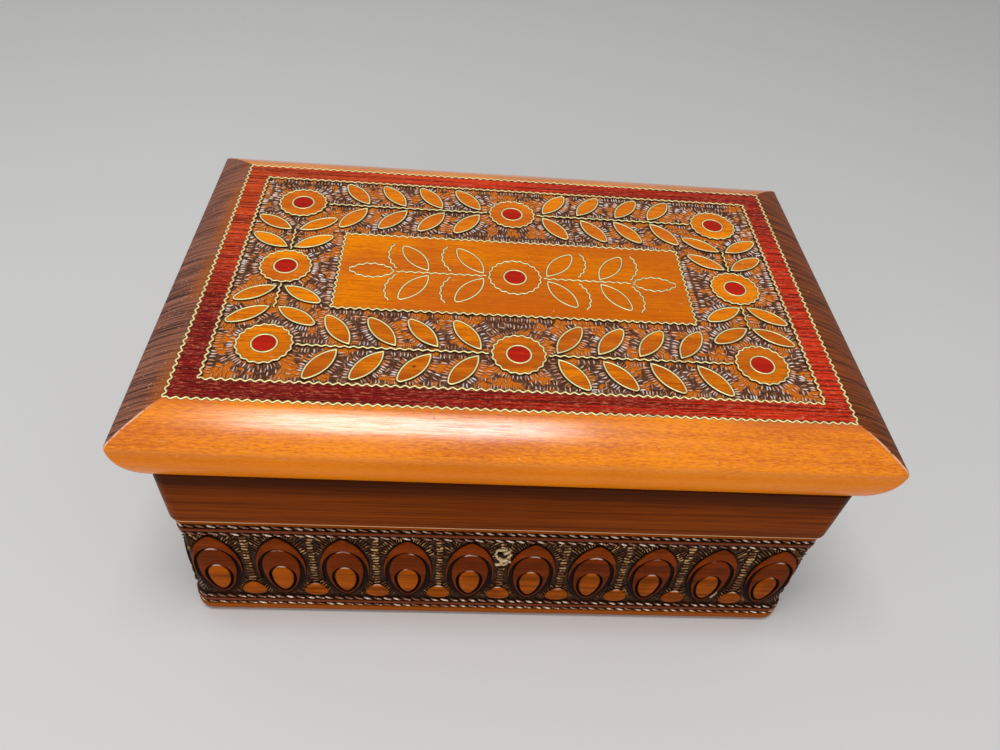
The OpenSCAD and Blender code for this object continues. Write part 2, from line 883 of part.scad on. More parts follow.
// Nails up through the bottom board into the walls, grown by g
module nails(g) {
    for (x = nail_x)
        for (side = [-1, 1])
            translate([x, side * (base_dep / 2 - nail_inset), 0]) nail_shape(g);
    for (y = nail_y)
        for (side = [-1, 1])
            translate([side * (base_len / 2 - nail_inset), y, 0]) nail_shape(g);
}

// One nail with its flat head at z = 0, grown by g
module nail_shape(g) {
    cylinder(d = nail_head_d + 2 * g, h = nail_head_t);
    cylinder(d = nail_d + 2 * g, h = nail_l);
}

lid_board();
outer_border_wire();
inner_border_wire();
panel_border_wire();
row_stem_wires();
row_leaf_wires();
column_stem_wires();
column_leaf_wires();
flower_ring_wires();
flower_eye_wires();
panel_stem_wires();
panel_leaf_wires();
panel_tendril_wires();
panel_bud_wires();
lid_hinge_leaf_left();
lid_hinge_leaf_right();
lid_hinge_screws();
front_wall();
back_wall();
left_wall();
right_wall();
bottom_board();
bottom_nails();
base_hinge_leaf_left();
base_hinge_leaf_right();
hinge_pin_left();
hinge_pin_right();
base_hinge_screws();
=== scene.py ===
import math
import random
from functools import partial

import bpy
from bpy.props import FloatProperty, FloatVectorProperty, IntProperty, PointerProperty
from mathutils import Matrix, Vector


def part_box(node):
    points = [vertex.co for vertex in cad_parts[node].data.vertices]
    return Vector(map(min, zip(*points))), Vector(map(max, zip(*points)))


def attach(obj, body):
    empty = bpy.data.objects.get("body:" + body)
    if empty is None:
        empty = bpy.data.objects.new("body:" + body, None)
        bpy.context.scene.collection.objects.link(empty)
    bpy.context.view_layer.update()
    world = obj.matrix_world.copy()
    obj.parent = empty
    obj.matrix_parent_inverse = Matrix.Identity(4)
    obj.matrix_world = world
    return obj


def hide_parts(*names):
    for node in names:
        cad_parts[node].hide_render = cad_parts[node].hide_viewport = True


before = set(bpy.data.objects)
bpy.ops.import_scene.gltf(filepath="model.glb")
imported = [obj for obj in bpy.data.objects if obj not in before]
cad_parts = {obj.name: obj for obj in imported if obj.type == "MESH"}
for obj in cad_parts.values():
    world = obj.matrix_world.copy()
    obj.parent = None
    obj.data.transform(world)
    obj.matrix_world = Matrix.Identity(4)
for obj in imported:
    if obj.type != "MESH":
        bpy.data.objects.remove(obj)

bl_info = {
    "name": "Inlaid Jewelry Box",
    "version": (1, 0, 0),
    "blender": (4, 5, 0),
    "location": "View3D > Sidebar > Jewelry Box",
    "description": "Dresses the model of a wooden jewelry box with a brass inlaid lid and a carved base",
    "category": "Object",
}

# The start-up scene's own things go, so that the bounds are the box's alone
for leftover in ("Cube", "Light", "Camera"):
    if leftover in bpy.data.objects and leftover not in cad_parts:
        bpy.data.objects.remove(bpy.data.objects[leftover])

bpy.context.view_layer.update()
MM = 0.001
MERGE_GAP = 0.002 * MM

# Sizes of the base in millimetres, as the solids have them
WALL_T = 10.0
CORNER_R = 5.5
REBATE_W, REBATE_H = 5.0, 6.0
BASE_L, BASE_D, BASE_H = 243.0, 154.0, 92.0
RIM_H = 5.6
FOOT_R = 3.5
SHOULDER_R = 3.0
CARVE_D = 1.2
FLARE = 1.2
FRIEZE_TOP = 55.0
FILLETS = ((8.4, 10.2), (56.4, 58.2), (60.9, 62.3))
PLAIN_LOW = 60.8
CARVED_TOP = 62.4
ROPE_LINES = (7.0, 11.6, 55.0, 59.55)
MOTIF_FOOT = 13.5
PETAL = (39.5, 19.0)
MIDDLE_DROP, MIDDLE_FOOT = (31.0, 14.8), 1.3
BEAD_DROP, BEAD_FOOT = (17.6, 8.8), 3.6
BALL_R = 4.7

# The edge of a fillet in steps: how far behind the face and how far in from the edge
FILLET_EDGE = ((CARVE_D, 0.0), (0.25, 0.1), (0.0, 0.4))

# Raised and cut forms: each step is an inset and a height over the ground
PETAL_STEPS = ((0, -0.3), (0, 0.55), (0.15, 0.85), (0.45, 1.05), (1.2, 1.17), (2.5, 1.2))
CROWN_STEPS = ((0.1, -0.1), (0.02, 0.25), (0.25, 0.75), (0.5, 1.0), (1.2, 1.15), (2.4, 1.2))
BALL_STEPS = ((0, -0.3), (0, 0.5), (0.2, 0.85), (0.6, 1.05), (1.6, 1.2), (2.6, 1.2))
MIDDLE_CUT = ((-0.05, 0.1), (-0.25, 0.5), (-0.75, 1.5))
BEAD_CUT = ((-0.05, 0.1), (-0.2, 0.5), (-0.6, 1.5))
PIT_STEPS = ((0.35, -1.3), (0.15, 0.0), (0, 2.0))

# How much longer, wider and lower the cut round a drop is than the drop
MIDDLE_GROWTH, BEAD_GROWTH = (2.6, 2.0, 2.6), (0.3, 1.1, 0.25)

# How far out from a petal the rows of nicks lie
NICK_ROWS = (1.7, 3.9, 6.1, 8.3)

# Torn splinters on the front wall: along, height, degrees, length, width and how high
SPLINTERS = (
    (-2.6, 46.8, 80, 4.2, 0.9, 1.0), (-0.3, 48.5, 8, 4.2, 0.8, 0.9), (1.5, 46.8, 38, 3.6, 0.8, 1.1),
    (2.6, 44.6, 62, 3.2, 1.1, 1.0), (-1.9, 43.4, -60, 3.4, 1.1, 1.0), (-0.8, 42.2, -40, 3.6, 1.3, 1.1),
    (0.5, 41.3, 20, 3.6, 1.4, 1.1), (-0.2, 39.7, -75, 3.2, 1.3, 1.0), (1.3, 38.9, 50, 2.8, 1.1, 0.9),
    (-1.4, 38.3, 10, 2.8, 1.0, 0.8), (2.8, 40.7, -30, 2.2, 0.9, 0.8), (89.6, 20.2, 68, 5.4, 0.7, 1.3),
)

# Heights on the front wall between which the middle bars are gone
BARS_GONE = (36.0, 49.0)

# Dark spots on the lid's top: place and radius
DARK_SPOTS = ((-10.9, -64.2, 0.8), (-35.5, -49.7, 0.8), (-27.9, -71.2, 0.5), (-19.7, -73.7, 0.4))

# Chips in the lid's lower front edge: place along it and length, and the cutter that takes them out
LID_CHIPS = ((11.7, 3.4), (76.3, 4.2), (-58.0, 2.0))
CHIP_Y, CHIP_Z = -77.3, 92.35
CHIP_D, CHIP_H = 1.1, 0.8
CHIP_TURNS = (40, 4, 3)

# Sizes of the lid in millimetres
NOSE_X, NOSE_Y, NOSE_Z = 127.5, 83.0, 112.4
NOSE_R = 3.0
LID_CORNER_R, FIELD_CORNER_R = 0.9, 0.15
BELLY_R = 35.0
CROWN_R = 45.0
CROWN_IN = 14.5
CROWN_SLOPE = 15.0
LID_Z, LID_TOP = 92.2, 120.2
OUTER_X, OUTER_Y = 112.0, 67.5
INNER_X, INNER_Y = 103.4, 58.9
PANEL_X, PANEL_Y = 66.5, 22.0
FLOWER_X, FLOWER_Y = 86.15, 41.65
FLOWER_R = 9.2
ROSE_R = 9.8
EYE_R = 4.3
FIELD_Z = 119.5
FIELD_DROP = LID_TOP - FIELD_Z
LEAF_Z = 119.95
RECESS_Y, RECESS_Z = 77.9, 91.2
RECESS_SIZE = (30.2, 18, 4)

# Brass strips in millimetres
STRIP_T = 0.58
STRIP_LOW, STRIP_TOP = 118.66, 120.34
STRIP_EASE = 0.12
WAVE_STEPS, PLAIN_ARC_STEPS = 10, 40
# The seat is a dark sheet round each strip, partly dark filler and partly painted shadow
SEAT_LOW, SEAT_TOP = 119.6, 120.212
SEAT_SHOWS = 0.17
SEAT_MATCH = 0.004
STEM_SWING, ARC_SWING = 0.75, 0.68
LEAF_OFF = 1.56
LEAF_TIP_R = 1.1
LEAF_SIDES = 36
STEM_START, ROW_STEM_END, COLUMN_STEM_END = 10.425, 75.725, 23.195
PANEL_STEM = (11.025, 44.975)
TENDRIL_R = 12.0
TENDRIL_CENTRES = ((16.09, 10.66), (36.59, 10.66))
TENDRIL_TURNS = (-46.0, 31.0)
BUD_LOW, BUD_HIGH, BUD_W, BUD_GAP = 45.475, 62.875, 8.0, 0.3

# Punched field in millimetres: gaps of the marks and what the search for free places goes by
PUNCH_H = 0.62
ROW_GAP, FIELD_MARGIN, EDGE_GAP, LEAST_ROOM = 0.1, 0.55, 0.3, 0.9
SLOPE_STEP, LEAST_SLOPE = 0.2, 0.02
STEM_HALF, ROW_STEM_SPAN, COLUMN_STEM_SPAN = 0.4, (10, 76), (10, 24)
LEAF_CELL, MARK_CELL = 10, 3

# Walls: name, length, distance of the plain band from the middle, turn about Z, motifs along it
WALLS = (
    ("front", BASE_L, BASE_D / 2, 0, 10),
    ("right", BASE_D, BASE_L / 2, 90, 6),
    ("back", BASE_L, BASE_D / 2, 180, 10),
    ("left", BASE_D, BASE_L / 2, 270, 6),
)

HINGE_NODES = (
    "lid_hinge_leaf_left", "lid_hinge_leaf_right", "base_hinge_leaf_left",
    "base_hinge_leaf_right", "lid_hinge_screws", "base_hinge_screws",
)
STEEL_NODES = ("hinge_pin_left", "hinge_pin_right", "bottom_nails")

# Forms of the frieze: the colour of each, where its painted glint begins and where the painted shade at its
# foot ends
FRIEZE_FORMS = (
    ("petal", "petal", 59.25, 24.0),
    ("inner_drop", "inner_drop", 44.05, 17.0),
    ("bead", "bead", 33.25, 16.0),
    ("ball", "bead", 21.65, 12.0),
)

# The camera's place in millimetres and its turns in radians, worked out from the photo
CAMERA_PLACE = (-24.9, -227.1, 303.1)
CAMERA_YAW, CAMERA_PITCH, CAMERA_ROLL = 0.10315, 0.80438, 0.11644

# The floor's size in metres
FLOOR_SIZE, FLOOR_CELLS = 6, 8

# Lights: place and size in metres and turns in degrees
KEY_PLACE, KEY_TURNS, KEY_SIZE = (-0.085, -0.16, 1.1), (0, 0, 0), (0.5, 0.28)
FRONT_PLACE, FRONT_TURNS, FRONT_SIZE = (-0.25, -1.15, 0.5), (68, 0, -12), (0.9, 0.6)


def tint(red, green, blue):
    """A screen colour from 0 to 255 as the linear colour that a shader takes."""
    linear = []
    for part in (red, green, blue):
        share = part / 255
        linear.append(share / 12.92 if share <= 0.04045 else ((share + 0.055) / 1.055) ** 2.4)
    return tuple(linear)


def colour_property(name, description, red, green, blue):
    return FloatVectorProperty(
        name=name, description=description, subtype="COLOR", size=3, min=0, max=1,
        default=tint(red, green, blue))


def length_property(name, description, default, low, high):
    """A length that is given in millimetres."""
    return FloatProperty(
        name=name, description=description, unit="LENGTH",
        default=default * MM, min=low * MM, max=high * MM)


class BoxSizes(bpy.types.PropertyGroup):
    """Sizes of the carving and the punching."""

    rope_pitch: length_property("Rope Pitch", "Distance between the strands of the ropes", 3.9, 2, 5)
    bar_pitch: length_property("Bar Pitch", "Distance between the bars between two drops", 1.9, 1.2, 4)
    nick_pitch: length_property("Nick Pitch", "Distance between the nicks round the drops", 1.05, 1, 4)
    punch_pitch: length_property("Punch Pitch", "Distance between the punched marks", 0.93, 0.8, 3)
    punch_length: length_property("Punch Length", "Length of a punched mark", 2.9, 1.5, 4)
    crimp_pitch: length_property("Crimp Pitch", "Length of one wave of the crimped strips", 3.1, 2, 5)
    crimp_swing: length_property("Crimp Swing", "How far a strip swings to each side", 0.42, 0.1, 0.6)
    punch_tries: IntProperty(
        name="Punch Tries", description="How often a place for a punched mark is tried",
        default=40000, min=1000, max=60000)


class BoxColours(bpy.types.PropertyGroup):
    """Colours of the box's finishes."""

    honey: colour_property("Honey", "Varnished wood of the lid", 236, 136, 0)
    amber: colour_property("Amber", "Darker grain of the lid", 186, 88, 0)
    red_band: colour_property("Red Band", "Red stain of the lid's band", 202, 46, 12)
    red_dark: colour_property("Red Shade", "Darker parts of the red band", 118, 20, 18)
    flower_red: colour_property("Flower Red", "Red stain of the flower centres", 190, 34, 12)
    # The pale tops of the punched marks are partly a painted sheen
    punched: colour_property("Punched Ground", "Ground of the punched field", 80, 48, 32)
    punched_light: colour_property("Punched Marks", "Tops of the punched marks", 240, 204, 180)
    band: colour_property("Plain Band", "Varnished wood of the base", 136, 60, 0)
    band_dark: colour_property("Band Grain", "Darker grain of the base", 72, 26, 0)
    petal: colour_property("Carved Petals", "Tops of the carved petals", 130, 52, 3)
    inner_drop: colour_property("Inner Drops", "Tops of the drops in the petals", 116, 44, 2)
    bead: colour_property("Beads", "Tops of the beads and the balls", 168, 80, 2)
    groove: colour_property("Carved Ground", "Dark ground of the carving", 30, 16, 10)
    nick: colour_property("Cut Bars", "Pale cut bars of the frieze", 214, 170, 112)
    brass: colour_property("Inlaid Brass", "Crimped brass strip", 244, 230, 160)
    patina: colour_property("Brass Patina", "Darker parts of the strip", 184, 164, 112)
    hinge_brass: colour_property("Hinge Brass", "Satin brass of the hinges", 206, 168, 84)
    raw_wood: colour_property("Raw Wood", "Bare wood inside and underneath", 190, 150, 98)
    raw_dark: colour_property("Raw Grain", "Darker grain of the bare wood", 150, 108, 64)
    torn_wood: colour_property("Torn Wood", "Bare wood in the chips", 222, 198, 154)
    steel: colour_property("Steel", "Pins and nails", 168, 168, 166)
    floor: colour_property("Floor", "Plain pale floor", 206, 206, 205)


class StageSettings(bpy.types.PropertyGroup):
    """Light and camera."""

    key_power: FloatProperty(
        name="Key Light", description="Power of the soft light overhead",
        default=6.6, min=0, max=200, unit="POWER")
    front_power: FloatProperty(
        name="Front Light", description="Power of the wide soft light in front",
        default=4.6, min=0, max=200, unit="POWER")
    world_strength: FloatProperty(
        name="Fill Light", description="Strength of the light from all round",
        default=0.42, min=0, max=2)
    lens: FloatProperty(
        name="Lens", description="Focal length of the camera",
        default=27.36, min=10, max=200, unit="CAMERA")


# Modelling


def deselect_all():
    if bpy.context.mode != "OBJECT":
        bpy.ops.object.mode_set(mode="OBJECT")
    bpy.ops.object.select_all(action="DESELECT")


def pick(*objects):
    """Selects only these, with the first one active."""
    deselect_all()
    for piece in objects:
        piece.select_set(True)
    bpy.context.view_layer.objects.active = objects[0]


def formed(name, sides, storeys, place):
    """A closed column of quads with each vertex where place(side, storey) says, in millimetres."""
    deselect_all()
    bpy.ops.mesh.primitive_circle_add(vertices=sides, radius=1, fill_type="NGON", location=(0, 0, 0))
    piece = bpy.context.object
    piece.name = piece.data.name = name
    bpy.ops.object.mode_set(mode="EDIT")
    bpy.ops.mesh.select_all(action="SELECT")
    for _ in range(storeys - 1):
        bpy.ops.mesh.extrude_region_move(TRANSFORM_OT_translate={"value": (0, 0, 1)})
    bpy.ops.object.mode_set(mode="OBJECT")
    for vertex in piece.data.vertices:
        turn = math.atan2(-vertex.co.x, vertex.co.y) / math.tau
        side = round(turn * sides) % sides
        vertex.co = Vector(place(side, round(vertex.co.z))) * MM
    close_up(piece)
    return piece


def close_up(piece):
    """Merges what coincides and turns the faces outwards."""
    pick(piece)
    bpy.ops.object.mode_set(mode="EDIT")
    bpy.ops.mesh.select_all(action="SELECT")
    bpy.ops.mesh.remove_doubles(threshold=MERGE_GAP)
    bpy.ops.mesh.normals_make_consistent(inside=False)
    bpy.ops.object.mode_set(mode="OBJECT")


def modify(piece, kind, **settings):
    """Applies one modifier with its settings."""
    modifier = piece.modifiers.new(kind.title(), kind)
    for key, value in settings.items():
        setattr(modifier, key, value)
    pick(piece)
    bpy.ops.object.modifier_apply(modifier=modifier.name)


def cut(piece, *cutters):
    """Takes the cutters' forms out of the piece, all at once, so that each run gives the same."""
    cutter = join("cutter", *cutters)
    modify(piece, "BOOLEAN", operation="DIFFERENCE", solver="EXACT", object=cutter)
    bpy.data.objects.remove(cutter)


def block(place, size, turns=(0, 0, 0)):
    """A cuboid with its middle on the place, in millimetres, turned by degrees."""
    deselect_all()
    bpy.ops.mesh.primitive_cube_add(
        size=1, location=[part * MM for part in place], rotation=[math.radians(part) for part in turns])
    piece = bpy.context.object
    piece.scale = [part * MM for part in size]
    bpy.ops.object.transform_apply(location=True, rotation=True, scale=True)
    return piece


def join(name, *pieces):
    pick(*pieces)
    bpy.ops.object.join()
    pieces[0].name = pieces[0].data.name = name
    return pieces[0]


def smooth_by_angle(piece, degrees):
    pick(piece)
    bpy.ops.object.shade_smooth_by_angle(angle=math.radians(degrees))


def spread(stamp, places, put):
    """Copies a stamp to each place, where put(place, x, y, z) gives a vertex in millimetres."""
    size = len(stamp.data.vertices)
    modify(stamp, "ARRAY", use_relative_offset=False, count=len(places))
    for vertex in stamp.data.vertices:
        x, y, z = vertex.co / MM
        vertex.co = Vector(put(places[vertex.index // size], x, y, z)) * MM
    return stamp


def give(piece, *materials):
    piece.data.materials.clear()
    for material in materials:
        piece.data.materials.append(material)


def rotated(x, y, angle, from_x=0, from_y=0):
    cosine, sine = math.cos(angle), math.sin(angle)
    return from_x + x * cosine - y * sine, from_y + x * sine + y * cosine


# Outlines


CORNERS = ((-1, 1), (-1, -1), (1, -1), (1, 1))


def leaf_line(length, width, inset, side, sides):
    """Point of a leaf outline: two arcs from a pointed foot on the origin to a rounded tip."""
    full = length + 0.68 * LEAF_TIP_R
    radius = (full ** 2 + width ** 2) / (4 * width)
    middle = radius - width / 2
    tip = LEAF_TIP_R - min(inset, 0.8 * LEAF_TIP_R)
    lift = math.sqrt((radius - LEAF_TIP_R) ** 2 - middle ** 2)
    meet = math.atan2(lift, middle)
    half = sides // 2
    tip_steps = sides // 12
    step = side if side <= half else sides - side
    if step < tip_steps:
        turn = math.pi / 2 - (math.pi / 2 - meet) * step / tip_steps
        x = -tip * math.cos(turn)
        y = full / 2 + lift + tip * math.sin(turn)
    else:
        arc = radius - inset
        foot = -math.acos(middle / arc)
        turn = meet + (foot - meet) * (step - tip_steps) / (half - tip_steps)
        x = middle - arc * math.cos(turn)
        y = full / 2 + arc * math.sin(turn)
    return (x if side <= half else -x), y


def bulb(length, width, inset, side, sides, low_share, arch, taper):
    """Point of a drop outline: an arch above its widest place and a foot on the origin."""
    low = low_share * length
    high = length - low
    step = side if side <= sides // 2 else sides - side
    half = sides // 4
    shrink = 1 - 2 * inset / width
    if step <= half:
        turn = math.pi / 2 * step / half
        x = -width / 2 * math.sin(turn) ** arch * shrink
        y = low + (high - inset) * math.cos(turn)
    else:
        turn = math.pi / 2 * (step - half) / (sides // 2 - half)
        x = -width / 2 * max(math.cos(turn), 0) ** taper * shrink
        y = low - (low - 1.7 * inset) * math.sin(turn)
    return (x if side <= sides // 2 else -x), y


def round_line(length, width, inset, side, sides, bell):
    """Point of a rounded outline round the origin, wider at its foot by the share bell."""
    turn = math.tau * side / sides
    wide = width / 2 - inset
    return -wide * math.sin(turn) * (1 - bell * math.cos(turn)), (length / 2 - inset) * math.cos(turn)


def plate_line(length, width, inset, side, sides):
    """Corner of a rectangle with its middle on the origin."""
    corner_x, corner_y = CORNERS[side]
    return corner_x * (length / 2 - inset), corner_y * (width / 2 - inset)


# The pocket is the cut round a drop, which stays wide towards its foot
petal_line = partial(bulb, low_share=0.52, arch=1.32, taper=1.15)
drop_line = partial(bulb, low_share=0.6, arch=1.06, taper=1.2)
pocket_line = partial(bulb, low_share=0.6, arch=1.06, taper=0.5)
bell_line = partial(round_line, bell=0.34)
circle_line = partial(round_line, bell=0)

# Pits in the front wall where wood is torn out: along, height, outline, its size and its sides
CHIP_PITS = ((-1.0, 46.1, plate_line, (2.3, 3.2), 4), (1.1, 35.6, bell_line, (2.0, 1.9), 12))


def raised(name, outline, size, steps, foot=0.0, sides=40):
    """A form raised in steps over an outline whose lowest point stands at the foot."""

    def place(side, storey):
        inset, height = steps[storey]
        x, y = outline(size[0], size[1], inset, side, sides)
        return x, y + foot, height

    return formed(name, sides, len(steps), place)


# Walls


def face_at(z):
    """How far the carved zone's face stands outside the plain band at a height."""
    return FLARE - 2 * FLARE * (z - RIM_H) / (CARVED_TOP - RIM_H)


def ground_at(z):
    return face_at(z) - CARVE_D


def turned(x, y, z, degrees):
    """A point turned about Z by whole quarters."""
    cosine = round(math.cos(math.radians(degrees)))
    sine = round(math.sin(math.radians(degrees)))
    return x * cosine - y * sine, x * sine + y * cosine, z


def on_wall(wall, along, out, z):
    """Place of a point on a wall: past the run it follows the round corner."""
    _, length, half, turn, _ = wall
    run = length / 2 - CORNER_R
    past = abs(along) - run
    if past > 0 and out > -CORNER_R:
        bend = past / (CORNER_R + FLARE / 2)
        reach = run + (CORNER_R + out) * math.sin(bend)
        along = math.copysign(reach, along)
        out = (CORNER_R + out) * math.cos(bend) - CORNER_R
    return turned(along, -(half + out), z, turn)


def arc_points(centre_out, centre_z, radius, start, end, count):
    points = []
    for step in range(count + 1):
        turn = math.radians(start + (end - start) * step / count)
        points.append((centre_out + radius * math.cos(turn), centre_z + radius * math.sin(turn)))
    return points


def wall_section():
    """A wall's cross-section as (out, z), from the foot up the face and down the inside."""
    section = [(-REBATE_W, 0.0)]
    section += arc_points(FLARE - FOOT_R, FOOT_R, FOOT_R, -90, 0, 8)
    section += [(FLARE, RIM_H - 0.4), (FLARE - 0.3, RIM_H), (ground_at(RIM_H), RIM_H)]
    low = RIM_H
    for fillet_low, fillet_top in FILLETS:
        while low + 7.5 < fillet_low:
            low += 7.0
            section.append((ground_at(low), low))
        for edge, inward in ((fillet_low, 1), (fillet_top, -1)):
            corner = [(face_at(edge) - back, edge + inward * shift) for back, shift in FILLET_EDGE]
            section += corner[::inward]
        low = fillet_top
    section.append((ground_at(CARVED_TOP), CARVED_TOP))
    section += arc_points(-SHOULDER_R, CARVED_TOP + SHOULDER_R, SHOULDER_R, -80, 0, 6)
    section += [(0.0, 78.0), (0.0, BASE_H - 0.5), (-0.5, BASE_H)]
    section += [(0.5 - WALL_T, BASE_H), (-WALL_T, BASE_H - 0.5)]
    section += [(-WALL_T, REBATE_H), (-REBATE_W, REBATE_H)]
    return section


def wall_board(wall, finish_of, pits):
    """The mitred board of a wall, swept along its run and round both corners, with its pits."""
    name, length, half, turn, _ = wall
    section = wall_section()
    run = length / 2 - CORNER_R
    corner_steps = 8
    stations = [(-1, step / corner_steps) for step in range(corner_steps, -1, -1)]
    stations += [(1, step / corner_steps) for step in range(corner_steps + 1)]

    def place(side, storey):
        out, z = section[side]
        end, share = stations[storey]
        if out > -CORNER_R:
            bend = share * math.pi / 4
            along = run + (CORNER_R + out) * math.sin(bend)
            out = (CORNER_R + out) * math.cos(bend) - CORNER_R
        else:
            along = run + CORNER_R + out
        return turned(end * along, -(half + out), z, turn)

    piece = formed(name + "_wall_carved", len(section), len(stations), place)
    if pits:
        cut(piece, *pits)
    give(piece, finish_of["band"], finish_of["ground"])
    for face in piece.data.polygons:
        middle = face.center / MM
        _, y, z = turned(middle.x, middle.y, middle.z, -turn)
        outside = -y - half > -CORNER_R
        face.material_index = int(outside and RIM_H + 0.2 < z < PLAIN_LOW)
    return piece


def pocket(outline, size, foot, growth, steps):
    """The form of the cut round a drop."""
    longer, wider, lower = growth
    return raised("pocket", outline, (size[0] + longer, size[1] + wider), steps, foot - lower)


def motif_stamp(finish_of):
    """One carved drop: a petal, a drop cut round in it, and a bead cut round in that."""
    petal = raised("motif", petal_line, PETAL, PETAL_STEPS)
    cut(petal, pocket(pocket_line, MIDDLE_DROP, MIDDLE_FOOT, MIDDLE_GROWTH, MIDDLE_CUT))
    middle = raised("middle", drop_line, MIDDLE_DROP, CROWN_STEPS, MIDDLE_FOOT)
    cut(middle, pocket(drop_line, BEAD_DROP, BEAD_FOOT, BEAD_GROWTH, BEAD_CUT))
    bead = raised("bead", drop_line, BEAD_DROP, CROWN_STEPS[:5], BEAD_FOOT)
    for form, finish in ((petal, "petal"), (middle, "inner_drop"), (bead, "bead")):
        give(form, finish_of[finish])
    return join("motif", petal, middle, bead)


def strand_stamp(pitch):
    """One slanting strand of a rope line, with its length on X running down to the right."""
    widths = ((-1.0, 0.25), (-0.65, 0.8), (0.0, 1.0), (0.65, 0.8), (1.0, 0.25))
    sides = 6

    def place(side, storey):
        reach, width = widths[storey]
        turn = math.tau * side / sides
        across = 0.17 * pitch * width * math.sin(turn)
        x, y = rotated(0.56 * pitch * reach, across, math.radians(-21))
        return x, y, 0.45 + 0.8 * width * math.cos(turn)

    return formed("strand", sides, len(widths), place)


def ridge_stamp():
    """A cut ridge one millimetre long, wide and high, with its length on X."""
    rings = ((1.0, 1.0, -0.3), (0.86, 0.8, 0.55), (0.6, 0.25, 1.0))

    def place(side, storey):
        long_share, wide_share, height = rings[storey]
        return CORNERS[side][0] / 2 * long_share, CORNERS[side][1] / 2 * wide_share, height

    return formed("ridge", len(CORNERS), len(rings), place)


def rope_strands(length, pitch, chance):
    """Places of the strands of all rope lines on a wall, round to both mitres."""
    path = length - 2 * CORNER_R + 2 * (CORNER_R + FLARE / 2) * math.pi / 4
    count = round(path / pitch)
    return [
        ((number + 0.5) * path / count - path / 2 + chance.uniform(-0.1, 0.1), line)
        for line in ROPE_LINES for number in range(count)]


def bar_marks(name, between, pitch, chance):
    """Cut bars over the balls: along, height, angle, length, width and how high."""
    marks = []
    for middle in between:
        height = MOTIF_FOOT + 2 * BALL_R + 1.2
        while height < FRIEZE_TOP - 0.8:
            if not (name == "front" and middle == 0 and BARS_GONE[0] < height < BARS_GONE[1]):
                marks.append((
                    middle + chance.uniform(-0.3, 0.3), height, chance.uniform(-0.25, 0.25),
                    chance.uniform(2.8, 3.7), pitch * 0.62, chance.uniform(0.75, 1.0)))
            height += pitch
    return marks


def nick_marks(length, centres, pitch, chance):
    """Nicks that stand out from the petals in rows, as bar_marks gives them."""
    side_limit = length / len(centres) / 2 - 2.3
    corner_limit = length / 2 - 0.5
    marks = []
    for centre in centres:
        for row_out in NICK_ROWS:
            sides = round((2 * PETAL[0] + 4 * row_out) / pitch) // 4 * 4
            for side in range(sides):
                x, y = petal_line(*PETAL, 0, side, sides)
                outer_x, outer_y = petal_line(*PETAL, -0.5, side, sides)
                away = Vector((outer_x - x, outer_y - y)).normalized()
                spot_x, spot_y = x + away.x * row_out, y + away.y * row_out
                height = MOTIF_FOOT + spot_y
                if abs(spot_x) > side_limit or height > FRIEZE_TOP - 1.0 or spot_y < 2:
                    continue
                if abs(centre + spot_x) > corner_limit:
                    continue
                marks.append((
                    centre + spot_x, height, math.atan2(away.y, away.x) + chance.uniform(-0.2, 0.2),
                    chance.uniform(2.1, 2.9), pitch * 0.55, chance.uniform(0.5, 0.95)))
    return marks


def carve_wall(wall, sizes, finish_of):
    """A wall with all that is carved on it."""
    name, length, _, turn, motifs = wall
    chance = random.Random(31 + turn)
    pitch = length / motifs
    centres = [(number + 0.5) * pitch - length / 2 for number in range(motifs)]
    between = [number * pitch - length / 2 for number in range(1, motifs)]

    def on_face(place, x, y, z):
        along, height = place
        return on_wall(wall, along + x, ground_at(height + y) + z, height + y)

    def on_ground(mark, x, y, z):
        along, height, angle, long, wide, high = mark
        x, y = rotated(x * long, y * wide, angle)
        return on_wall(wall, along + x, ground_at(height + y) + z * high, height + y)

    drops = spread(motif_stamp(finish_of), [(centre, MOTIF_FOOT) for centre in centres], on_face)
    ball = raised("ball", bell_line, (2 * BALL_R, 2 * BALL_R), BALL_STEPS, sides=24)
    balls = spread(ball, [(place, MOTIF_FOOT + BALL_R) for place in between], on_face)
    strand_pitch = sizes.rope_pitch / MM
    ropes = spread(strand_stamp(strand_pitch), rope_strands(length, strand_pitch, chance), on_face)
    marks = bar_marks(name, between, sizes.bar_pitch / MM, chance)
    marks += nick_marks(length, centres, sizes.nick_pitch / MM, chance)
    ridges = spread(ridge_stamp(), marks, on_ground)
    carving = [drops, balls, ropes, ridges]
    for form, degrees in ((drops, 35), (balls, 40), (ropes, 60)):
        smooth_by_angle(form, degrees)
    for form, finish in ((balls, "ball"), (ropes, "rope"), (ridges, "nick")):
        give(form, finish_of[finish])

    pits = []
    if name == "front":
        for along, height, outline, size, sides in CHIP_PITS:
            pit = raised("pit", outline, size, PIT_STEPS, sides=sides)
            pits.append(spread(pit, [(along, height)], on_face))
        splinters = [
            (along, height, math.radians(degrees), *size) for along, height, degrees, *size in SPLINTERS]
        torn = spread(ridge_stamp(), splinters, on_ground)
        give(torn, finish_of["torn"])
        carving.append(torn)
    board = wall_board(wall, finish_of, pits)
    smooth_by_angle(board, 35)
    piece = join(name + "_wall_carved", board, *carving)
    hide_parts(name + "_wall")
    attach(piece, "base")


# Lid


def circles_meet(first, first_r, second, second_r):
    """The crossing of two circles that lies on the right of the way from first to second."""
    way = Vector(second) - Vector(first)
    gap = way.length
    along = (first_r ** 2 - second_r ** 2 + gap ** 2) / (2 * gap)
    aside = math.sqrt(first_r ** 2 - along ** 2)
    way.normalize()
    return Vector(first) + way * along + Vector((way.y, -way.x)) * aside


